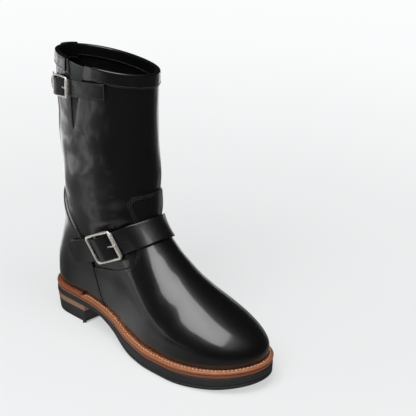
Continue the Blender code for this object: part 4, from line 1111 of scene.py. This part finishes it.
class Palette:
    """Materials of the boot, made once and shared."""

    def __init__(self) -> None:
        self.hide = hide_group()
        self.wear = wear_group()

    def start(self, finish: Finish) -> tuple[Nodes, bpy.types.Node, object]:
        """Empty material with its shader, and Object coordinates."""
        material = bpy.data.materials.new(finish.name)
        material.use_nodes = True
        nodes = Nodes(material.node_tree)
        shader = material.node_tree.nodes["Principled BSDF"]
        nodes.feed(shader, "Roughness", finish.roughness)
        nodes.feed(shader, "Base Color", shade(finish.colour))
        place = nodes.add("ShaderNodeTexCoord").outputs["Object"]
        return nodes, shader, place

    def bump(self, nodes: Nodes, shader: bpy.types.Node, height: object,
             strength: float = 1.0) -> None:
        """Join a height in metres to the shader's normal."""
        bump = nodes.add("ShaderNodeBump", {"Height": height, "Distance": 1.0,
                                            "Strength": strength})
        nodes.feed(shader, "Normal", bump.outputs["Normal"])

    def leather(self, finish: Finish) -> bpy.types.Material:
        """Polished or plain hide, with punched holes where the marks ask for them, coloured near
        black as painted shade.
        """
        nodes, shader, place = self.start(finish)
        hide = nodes.group(self.hide, {"Vector": place, "Pores": finish.pores,
                                       "Pull": finish.pull})
        wear = nodes.group(self.wear, {"Vector": place, "Amount": finish.wear})
        height = hide.outputs["Height"]
        colour = nodes.blend(wear.outputs["Mask"], shade(finish.colour),
                             shade(finish.colour, 1.7, 0.008))
        if finish.holes:
            marks = nodes.add("ShaderNodeUVMap", uv_map="marks").outputs[0]
            split = nodes.add("ShaderNodeSeparateXYZ", {0: marks})
            nearest = None
            for spot in finish.holes:
                run = nodes.maths("SUBTRACT", split.outputs[0], spot)
                far = nodes.maths("SQRT", nodes.maths(
                    "ADD", nodes.maths("MULTIPLY", run, run),
                    nodes.maths("MULTIPLY", split.outputs[1], split.outputs[1])))
                nearest = far if nearest is None else nodes.maths("MINIMUM", nearest, far)
            solid = nodes.ramp(nearest, 0.9, 1.5)
            height = nodes.maths("MULTIPLY_ADD", nodes.ramp(nearest, 0.8, 2.4), 7e-4, height)
            # Painted shade: inside the holes the colour goes near black, darker than the leather,
            # for the shade within them
            colour = nodes.blend(solid, (0.001, 0.001, 0.001, 1.0), colour)
        nodes.feed(shader, "Base Color", colour)
        nodes.feed(shader, "Roughness",
                   nodes.maths("MULTIPLY_ADD", wear.outputs["Mask"], 0.22, finish.roughness))
        nodes.feed(shader, "Coat Weight", finish.coat)
        nodes.feed(shader, "Coat Roughness", 0.09)
        self.bump(nodes, shader, height)
        return bpy.data.materials[finish.name]

    def edge(self, finish: Finish) -> bpy.types.Material:
        """Cut and waxed leather edge: streaks along it, darker burnished bands."""
        nodes, shader, place = self.start(finish)
        flat = nodes.add("ShaderNodeMapping", {"Vector": place, "Scale": (1.0, 1.0, 9.0)})
        streak = nodes.noise(flat.outputs[0], 260.0, 5.0, 0.65)
        blotch = nodes.noise(place, 30.0, 3.0)
        colour = nodes.blend(nodes.ramp(streak, 0.3, 0.7), shade(finish.colour, 0.78),
                             shade(finish.colour, 1.12))
        colour = nodes.blend(nodes.ramp(blotch, 0.35, 0.7, 0.0, 0.55), colour,
                             shade(finish.colour))
        nodes.feed(shader, "Base Color", colour)
        nodes.feed(shader, "Coat Weight", finish.coat)
        nodes.feed(shader, "Coat Roughness", 0.25)
        self.bump(nodes, shader, nodes.maths("MULTIPLY", streak, 1.2e-4))
        return bpy.data.materials[finish.name]

    def rubber(self, finish: Finish) -> bpy.types.Material:
        """Sole rubber: dull, finely pitted, with a ribbed tread on its under side."""
        nodes, shader, place = self.start(finish)
        pits = nodes.noise(place, 1300.0, 3.0, 0.7)
        dust = nodes.ramp(nodes.noise(place, 45.0, 4.0), 0.45, 0.75, 0.0, 0.35)
        nodes.feed(shader, "Base Color",
                   nodes.blend(dust, shade(finish.colour), shade(finish.colour, 2.2)))
        split = nodes.add("ShaderNodeSeparateXYZ", {0: place})
        ribs = nodes.maths("SINE", nodes.maths("MULTIPLY", split.outputs[0], 900.0))
        low = nodes.ramp(split.outputs[2], 0.0006, 0.0001)
        ribs = nodes.maths("MULTIPLY", nodes.ramp(ribs, -0.4, 0.4), low)
        height = nodes.maths("MULTIPLY_ADD", ribs, 6e-4, nodes.maths("MULTIPLY", pits, 7e-5))
        self.bump(nodes, shader, height)
        return bpy.data.materials[finish.name]

    def metal(self, finish: Finish) -> bpy.types.Material:
        """Plated wire with fine scratches."""
        nodes, shader, place = self.start(finish)
        nodes.feed(shader, "Metallic", 0.7)
        cloud = nodes.noise(place, 320.0, 4.0, 0.7)
        nodes.feed(shader, "Roughness",
                   nodes.maths("MULTIPLY_ADD", cloud, 0.2, finish.roughness - 0.08))
        self.bump(nodes, shader, nodes.maths("MULTIPLY", cloud, 5e-5))
        return bpy.data.materials[finish.name]

    def thread(self, finish: Finish) -> bpy.types.Material:
        """Twisted waxed thread, darker in the grooves of its twist as painted shade."""
        nodes, shader, place = self.start(finish)
        twist = nodes.add("ShaderNodeTexWave", {"Vector": place, "Scale": 900.0,
                                                "Distortion": 1.5}).outputs["Fac"]
        # Painted shade: the colour falls to 0.55 where the twist's bump is low, in the grooves
        # between strands
        nodes.feed(shader, "Base Color",
                   nodes.blend(twist, shade(finish.colour, 0.55), shade(finish.colour)))
        self.bump(nodes, shader, nodes.maths("MULTIPLY", twist, 6e-5))
        return bpy.data.materials[finish.name]

    def suede(self, finish: Finish) -> bpy.types.Material:
        """Napped split leather: dull, with brushed lighter patches."""
        nodes, shader, place = self.start(finish)
        nap = nodes.noise(place, 1500.0, 4.0, 0.8)
        brushed = nodes.ramp(nodes.noise(place, 40.0, 3.0), 0.4, 0.65)
        nodes.feed(shader, "Base Color",
                   nodes.blend(brushed, shade(finish.colour), shade(finish.colour, 1.9)))
        nodes.feed(shader, "Sheen Weight", 0.3)
        self.bump(nodes, shader, nodes.maths("MULTIPLY", nap, 1.5e-4))
        return bpy.data.materials[finish.name]

    def make(self, kind: Kind, finish: Finish) -> bpy.types.Material:
        """Material of a family with a finish's numbers."""
        makers = {Kind.HIDE: self.leather, Kind.EDGE: self.edge, Kind.RUBBER: self.rubber,
                  Kind.METAL: self.metal, Kind.THREAD: self.thread, Kind.SUEDE: self.suede}
        return makers[kind](finish)


@dataclass
class Bottom:
    """Welted sole with its stacked heel."""

    tan: bpy.types.Material
    deep_tan: bpy.types.Material
    red_tan: bpy.types.Material
    rubber: bpy.types.Material
    lift: bpy.types.Material
    insole: bpy.types.Material
    cream: bpy.types.Material

    def build(self) -> list[Piece]:
        """Pieces of the sole, from the tread to the welt's stitches."""
        cut = WELT_START
        return [
            Piece("outsole_look", Layer(OUTSOLE_ROWS).plate(), self.rubber, "sole_rubber",
                  ("outsole",)),
            Piece("midsole_look", Layer(EDGE_ROWS).plate(), self.deep_tan, "welt_leather",
                  ("midsole",)),
            Piece("welt_look", Layer(STRIP_ROWS, cut + GAP / 2, flat=True).strip(), self.tan,
                  "welt_leather", ("welt",)),
            Piece("heel_rand_look", Layer(STRIP_ROWS, 0.0, cut - GAP / 2, True).strip(),
                  self.red_tan, "rand_leather", ("heel_rand",)),
            Piece("insole_look", Layer(((-11.55, 1, 0, LOW_WELT), (-11.5, 1, 0, LOW_WELT + WELT)))
                  .plate(0), self.insole, "insole_leather", ("insole",)),
            Piece("heel_lift_look", Layer(LIFT_ROWS, 0.0, HEEL_BREAST).plate(), self.lift,
                  "heel_leather", ("heel_lift",)),
            Piece("heel_rubber_look", Layer(HEEL_ROWS, 0.0, HEEL_BREAST).plate(), self.rubber,
                  "sole_rubber", ("heel_rubber",)),
            Piece("welt_stitches", self.welt_row(), self.cream, "welt_leather")]

    def welt_row(self) -> Surface:
        """Stitches on the welt's top, seen between its edge and the upper."""
        plan = outline(-3.1, WELT_START + 4.0, WELT_LENGTH, 200)
        path = np.column_stack([plan, curve(OUTSOLE_TOP, plan[:, 0]) + LOW_WELT + WELT + 0.05])
        up = np.broadcast_to(np.array([0.0, 0.0, 1.0]), path.shape)
        return stitches(path, up, 4.2, 0.75, share=0.74)


@dataclass
class Leg:
    """Upper with its overlays, collar, gusset and pull."""

    black: bpy.types.Material
    suede: bpy.types.Material
    thread: bpy.types.Material

    def build(self) -> list[Piece]:
        """Pieces of the upper and their stitches."""
        vamp = Overlay("vamp", SEAM, VAMP_TOP, True, VAMP, (2.2, 4.6))
        counter = Overlay("counter", SEAM, COUNTER_TOP, False, COUNTER, (1.8, 3.9))
        pieces = [
            Piece("upper_look", build_shell(), self.black, "black_leather", ("upper",)),
            Piece("vamp_look", vamp.build(), self.black, "black_leather", ("vamp",)),
            Piece("counter_look", counter.build(), self.black, "black_leather", ("counter",)),
            Piece("vamp_stitches", vamp.rows_of_thread(), self.thread, "black_leather"),
            Piece("counter_stitches", counter.rows_of_thread(), self.thread, "black_leather")]
        return pieces + self.collar()

    def collar(self) -> list[Piece]:
        """Binding, gusset and back pull."""
        out, within, cover = GAP, -WALL - GAP, BINDING
        section = ((-BINDING_DEPTH, out - 0.3), (-BINDING_DEPTH, out + cover), (-7, out + cover),
                   (0.0, out + cover), (1.5, out + 0.5), (1.5, within - 0.5),
                   (0.0, within - cover), (-7, within - cover), (1 - BINDING_DEPTH, within - cover),
                   (1 - BINDING_DEPTH, within + 0.3), (GAP, within + 0.3), (GAP, out - 0.3))
        start, end = np.radians(NOTCH_SPAN[1]), np.radians(NOTCH_SPAN[0] + 360.0)
        bound = tube(rim_sections(np.linspace(start, end, 300), soften(section, 2)))
        low, high = np.radians(GUSSET_SPAN)
        angle = np.linspace(low, high, 60)
        rim = skin(angle, 1.0)[:, 2]
        table = ((-90.0, 0.6), (-50.0, 0.6), (-23.0, 0.7), (-14.0, 2.0), (-3.5, 2.0))
        faces = []
        fold = 0.7 * np.sin(angle * 17.0) * np.sin((angle - low) / (high - low) * np.pi)
        for add in (0.0, GUSSET):
            rows = []
            for height in np.linspace(-3.5, -86.0, 60):
                depth = float(curve(table, height))
                v = ring_at(angle, rim + height)
                fade = np.clip((-height - 10.0) / 20.0, 0, 1) * np.clip((70 + height) / 20, 0, 1)
                rows.append(over(angle, v, -WALL - depth - add - (fold + 0.7) * fade * 0.5))
            faces.append(np.array(rows))
        gusset = sheet(faces[0], faces[1])
        lift, deep = out + cover + GAP, within - cover - GAP
        pull = ((-34.0, out - 0.3), (-34.0, out + cover), (-18.0, out + cover),
                (-13.0, lift + cover), (0.6, lift + cover), (3.0, lift - 0.8), (3.0, deep + 0.8),
                (0.6, deep - cover), (-16.0, deep - cover), (-16.0, deep), (0.4, deep),
                (1.2 + GAP, deep + 0.3), (1.2 + GAP, lift - 0.3), (0.4, lift), (-13.0, lift),
                (-18.0, out - 0.3))
        span = np.radians(PULL_SPAN)
        strip = tube(rim_sections(np.linspace(-span, span, 30), soften(pull, 2)))
        edge = PULL_SPAN - 2.2
        rows = [rim_row(NOTCH_SPAN[1] + 2, NOTCH_SPAN[0] + 358, -BINDING_DEPTH + 2.0, out + cover),
                rim_row(NOTCH_SPAN[1] + 2, NOTCH_SPAN[0] + 358, -BINDING_DEPTH + 3.2,
                        within - cover, inward=True),
                rim_row(-edge, edge, -31.5, out + cover), rim_row(-edge, edge, -5.0, lift + cover),
                rim_row(-edge, edge, -13.5, deep - cover, inward=True)]
        seam = [(a, h) for a in (-edge, edge) for h in (-31.0, -18.0)]
        for a, h in seam[::2]:
            z = np.linspace(h, h + 13.0, 8)
            angle = np.full(8, np.radians(a))
            v = ring_at(angle, skin(angle, 1.0)[:, 2] + z)
            rows.append(stitches(over(angle, v, out + cover), outward(angle, v), 2.5, 0.38))
        tail = np.linspace(NOTCH[0][1] - 13.0, NOTCH[0][1] + 56.0, 60)
        for side in (-1, 1):
            x = NOTCH[0][0] + side * np.clip((tail - NOTCH[0][1]) * 0.17 + 1.6, 0.7, None)
            angle, v = angle_at(x, tail)
            rows.append(stitches(over(angle, v, 0.0), outward(angle, v), 2.4, 0.36))
        return [Piece("collar_binding_look", bound, self.black, "black_leather",
                      ("collar_binding",)),
                Piece("gusset_look", gusset, self.suede, "gusset_suede", ("gusset",)),
                Piece("back_pull_look", strip, self.black, "black_leather", ("back_pull",)),
                Piece("collar_stitches", joined(rows), self.thread, "black_leather")]


@dataclass
class Fastening:
    """Strap with its buckle, and the rows of thread on it."""

    prefix: str
    strap: Strap
    buckle: Buckle
    tail: Table
    chape_end: float
    last: float
    leather: bpy.types.Material
    nickel: bpy.types.Material
    thread: bpy.types.Material
    rows: tuple[tuple[tuple[float, float], ...], ...]

    def build(self) -> list[Piece]:
        """Pieces of the fastening."""
        self.strap.heights = self.buckle.strap_heights(self.tail)
        ring, roller, rod = self.buckle.metal()
        name = self.prefix
        thread = joined([self.strap.row_of_thread(list(row)) for row in self.rows])
        return [
            Piece(name + "_strap_look", self.strap.build(self.last), self.leather,
                  "black_leather", (name + "_strap",)),
            Piece(name + "_buckle_look", ring, self.nickel, "nickel", (name + "_buckle",)),
            Piece(name + "_roller_look", roller, self.nickel, "nickel", (name + "_roller",)),
            Piece(name + "_bar_look", rod, self.nickel, "nickel", (name + "_bar",)),
            Piece(name + "_prong_look", self.buckle.tongue(), self.nickel, "nickel",
                  (name + "_prong",)),
            Piece(name + "_chape_look", self.buckle.chape(self.chape_end), self.leather,
                  "black_leather", (name + "_chape",)),
            Piece(name + "_strap_stitches", thread, self.thread, "black_leather")]


def strap_base(strap: Strap, leather: bpy.types.Material,
               thread: bpy.types.Material) -> list[Piece]:
    """Pointed base stitched to the shaft under the fixed end of the top strap."""
    along = np.concatenate([np.linspace(27.0, 66.0, 40), np.linspace(66.5, 74.0, 14)])
    share = 0.78 * np.clip((74.4 - along) / 8.0, 0.03, 1.0)
    side = np.concatenate([[-1, -0.96], np.linspace(-0.85, 0.85, 7), [0.96, 1]])
    drop = np.array([0.35, 0.05] + [0.0] * 7 + [0.05, 0.35])
    across = side[None] * share[:, None] - 0.16
    outer = strap.point(along[:, None], across, GAP + BINDING - drop[None])
    inner = strap.point(along[:, None], across, np.full((1, 1), -0.2))
    row = strap.row_of_thread([(58.5, -0.7), (66.0, -0.72), (71.5, -0.16), (66.0, 0.4),
                               (58.5, 0.42)], GAP + BINDING)
    return [Piece("top_strap_base_look", sheet(outer, inner), leather,
                  "black_leather", ("top_strap_base",)),
            Piece("top_strap_base_stitches", row, thread, "black_leather")]


def view_camera(azimuth: float, elevation: float, roll: float, distance: float, focal: float,
                aim: tuple[float, float], target: tuple[float, float, float]) -> None:
    """Camera of the photograph.

    Args:
        azimuth: degrees round the boot from its outer side.
        elevation: degrees over the horizon.
        roll: degrees about the line of sight.
        distance: millimetres from the target.
        focal: focal length in pixels of the 416 pixel frame.
        aim: pixel where the target is seen.
        target: point in boot millimetres.
    """
    a, e, r = np.radians([azimuth, elevation, roll])
    back = np.array([np.sin(a) * np.cos(e), -np.cos(a) * np.cos(e), np.sin(e)])
    right = np.array([np.cos(a), np.sin(a), 0.0])
    up = np.cross(back, right)
    eye = np.array(target) + back * distance
    d = unit(np.array([(aim[0] - 208) / focal, -(aim[1] - 208) / focal, -1.0]))
    base = np.stack([right, up, back])
    axis = np.cross(np.array([0.0, 0.0, -1.0]), d)
    cross = np.array([[0, -axis[2], axis[1]], [axis[2], 0, -axis[0]], [-axis[1], axis[0], 0]])
    turn = np.eye(3) + cross + cross @ cross / (1 - d[2])
    rolled = np.array([[np.cos(r), -np.sin(r), 0], [np.sin(r), np.cos(r), 0], [0, 0, 1.0]])
    axes = (turn @ rolled @ base).T
    data = bpy.data.cameras.new("camera")
    data.sensor_width = 36.0
    data.lens = focal * 36.0 / 416.0
    data.clip_start = 0.05
    camera = bpy.data.objects.new("camera", data)
    pose = np.eye(4)
    pose[:3, :3] = axes
    pose[:3, 3] = (eye + SHIFT) * MM
    camera.matrix_world = Matrix(pose.tolist())
    bpy.context.scene.collection.objects.link(camera)
    bpy.context.scene.camera = camera


def soft_box(name: str, azimuth: float, elevation: float, distance: float,
             size: tuple[float, float], power: float, seen: bool, spin: float = 0.0) -> None:
    """Area light aimed at the boot; seen says if the leather mirrors it."""
    a, e = np.radians([azimuth, elevation])
    back = np.array([np.sin(a) * np.cos(e), -np.cos(a) * np.cos(e), np.sin(e)])
    data = bpy.data.lights.new(name, "AREA")
    data.shape = "RECTANGLE"
    data.size, data.size_y, data.energy = size[0], size[1], power
    lamp = bpy.data.objects.new(name, data)
    right = np.array([np.cos(a + spin), np.sin(a + spin), 0.0])
    right = unit(right - back * (right @ back))
    pose = np.eye(4)
    pose[:3, :3] = np.stack([right, np.cross(back, right), back]).T
    pose[:3, 3] = np.array([0.0, 0.0, 0.12]) + back * distance
    lamp.matrix_world = Matrix(pose.tolist())
    lamp.visible_glossy = seen
    bpy.context.scene.collection.objects.link(lamp)


# Brightness of the floor as seen, and the share of it that the lamps give at its middle
FLOOR_LEVEL, FLOOR_LIT = 0.98, 0.42


def build_stage() -> None:
    """Plain pale floor under soft lamps; for glossy rays it glows as a painted reflection, dark but
    at the heel side.

    The floor's own glow adds what the lamps lack away from its middle, so that it is
    even: level - lit * (2 / (2 + r^2))^2 at a distance r in metres.
    """
    mesh = bpy.data.meshes.new("floor")
    mesh.from_pydata([(-6, -6, 0), (6, -6, 0), (6, 6, 0), (-6, 6, 0)], [], [(0, 1, 2, 3)])
    material = bpy.data.materials.new("pale_ground")
    material.use_nodes = True
    nodes = Nodes(material.node_tree)
    nodes.tree.nodes.remove(material.node_tree.nodes["Principled BSDF"])
    place = nodes.add("ShaderNodeTexCoord").outputs["Object"]
    split = nodes.add("ShaderNodeSeparateXYZ", {0: place})
    path = nodes.add("ShaderNodeLightPath")
    far = nodes.add("ShaderNodeVectorMath", {0: place}, operation="LENGTH").outputs["Value"]
    # Painted reflection: glossy rays see the floor as a glow, strongest towards the heel side, in
    # cloudy patches, and faint close round the boot
    rear = nodes.ramp(split.outputs[0], 0.25, -0.7, 0.02, 2.0)
    cloud = nodes.ramp(nodes.noise(place, 3.2, 1.5), 0.42, 0.62, 0.12, 1.0)
    near = nodes.ramp(far, 0.16, 0.3, 0.16, 0.0)
    mirrored = nodes.maths("MAXIMUM", nodes.maths("MULTIPLY", rear, cloud), near)
    fall = nodes.maths("DIVIDE", 2.0, nodes.maths("MULTIPLY_ADD", far, far, 2.0))
    lamp_lit = nodes.maths("MULTIPLY", nodes.maths("MULTIPLY", fall, fall), FLOOR_LIT)
    lift = nodes.maths("SUBTRACT", FLOOR_LEVEL, lamp_lit)
    matt = nodes.add("ShaderNodeBsdfDiffuse", {"Color": (0.27, 0.272, 0.275, 1.0)})
    glow = nodes.add("ShaderNodeEmission", {"Color": (0.985, 0.995, 1.0, 1.0),
                                            "Strength": lift})
    both = nodes.add("ShaderNodeAddShader", {0: matt.outputs[0], 1: glow.outputs[0]})
    dull = nodes.add("ShaderNodeEmission", {"Color": (1.0, 1.0, 1.0, 1.0), "Strength": mirrored})
    mix = nodes.add("ShaderNodeMixShader", {0: path.outputs["Is Glossy Ray"],
                                            1: both.outputs[0], 2: dull.outputs[0]})
    nodes.tree.links.new(mix.outputs[0], material.node_tree.nodes["Material Output"].inputs[0])
    mesh.materials.append(material)
    floor = bpy.data.objects.new("floor", mesh)
    bpy.context.scene.collection.objects.link(floor)
    world = bpy.data.worlds.new("studio")
    world.use_nodes = True
    world.node_tree.nodes["Background"].inputs["Color"].default_value = (1, 1, 1, 1)
    world.node_tree.nodes["Background"].inputs["Strength"].default_value = 0.008
    bpy.context.scene.world = world
    bpy.context.scene.view_settings.view_transform = "Standard"
    soft_box("over", 17.0, 70.0, 1.49, (1.05, 1.5), 26.0, True)
    soft_box("front", 10.0, 38.0, 1.8, (1.2, 1.0), 8.0, False)
    soft_box("toe_side", 95.0, 35.0, 1.8, (1.0, 1.0), 6.0, False)


STRAP_BLACK = (0.0045, 0.0045, 0.0047)
FINISHES = {
    "black": (Kind.HIDE, Finish("black_leather_look", (0.0028, 0.0028, 0.003), 0.34, coat=0.7,
                                wear=0.25)),
    "plain": (Kind.HIDE, Finish("strap_leather_look", (0.004, 0.004, 0.0042), 0.4, coat=0.2,
                                pull=0.4, wear=0.3)),
    "ankle": (Kind.HIDE, Finish("ankle_strap_look", STRAP_BLACK, 0.36, coat=0.25, pull=0.4,
                                wear=0.3, holes=ANKLE_HOLES)),
    "top": (Kind.HIDE, Finish("top_strap_look", STRAP_BLACK, 0.36, coat=0.25, pull=0.4,
                              wear=0.3, holes=TOP_HOLES)),
    "insole": (Kind.EDGE, Finish("insole_look", (0.3, 0.18, 0.1), 0.6)),
    "tan": (Kind.EDGE, Finish("welt_look", (0.37, 0.125, 0.052), 0.42, coat=0.3)),
    "deep_tan": (Kind.EDGE, Finish("midsole_edge_look", (0.22, 0.075, 0.032), 0.45, coat=0.25)),
    "red_tan": (Kind.EDGE, Finish("rand_look", (0.27, 0.082, 0.036), 0.45, coat=0.25)),
    "lift": (Kind.EDGE, Finish("heel_lift_look", (0.3, 0.17, 0.1), 0.6)),
    "rubber": (Kind.RUBBER, Finish("rubber_look", (0.021, 0.021, 0.022), 0.62)),
    "nickel": (Kind.METAL, Finish("nickel_look", (0.86, 0.81, 0.75), 0.26)),
    "thread": (Kind.THREAD, Finish("black_thread", (0.05, 0.05, 0.05), 0.5)),
    "cream": (Kind.THREAD, Finish("cream_thread", (0.72, 0.52, 0.34), 0.6)),
    "suede": (Kind.SUEDE, Finish("suede_look", (0.007, 0.009, 0.009), 0.9))}


def build_boot() -> list[Piece]:
    """All pieces of the boot, sole first."""
    palette = Palette()
    look = {key: palette.make(*finish) for key, finish in FINISHES.items()}
    pieces = Bottom(look["tan"], look["deep_tan"], look["red_tan"], look["rubber"], look["lift"],
                    look["insole"], look["cream"]).build()
    pieces += Leg(look["black"], look["suede"], look["thread"]).build()
    ankle = Strap(ANKLE_ROWS, ANKLE_CENTRE, STRAP, ANKLE_TIP)
    top = Strap(TOP_ROWS, TOP_CENTRE, TOP_STRAP, TOP_TIP)
    collar = 3 * GAP + BINDING
    ankle_buckle = Buckle(ankle, ANKLE_BUCKLE, (GAP + COUNTER, GAP * 4 + VAMP), ANKLE_LANDING)
    top_buckle = Buckle(top, TOP_BUCKLE, (collar, collar), TOP_LANDING)
    for name, strap, buckle, tail, chape, thread in (
            ("ankle", ankle, ankle_buckle, ANKLE_TAIL, ANKLE_CHAPE, ANKLE_THREAD),
            ("top", top, top_buckle, TOP_TAIL, TOP_CHAPE, TOP_THREAD)):
        pieces += Fastening(name, strap, buckle, tail, chape, float(strap.length[-1]), look[name],
                            look["nickel"], look["thread"], thread).build()
    return pieces + strap_base(top, look["plain"], look["thread"])


def main() -> None:
    """Build the boot's look, the stage and the camera."""
    logging.basicConfig(level=logging.INFO)
    for piece in build_boot():
        piece.build()
    build_stage()
    view_camera(azimuth=45.9004, elevation=24.0877, roll=-0.98975, distance=1099.95,
                focal=1004.41, aim=(156.80, 233.66), target=(150.0, 0.0, 130.0))


if __name__ == "__main__":
    main()
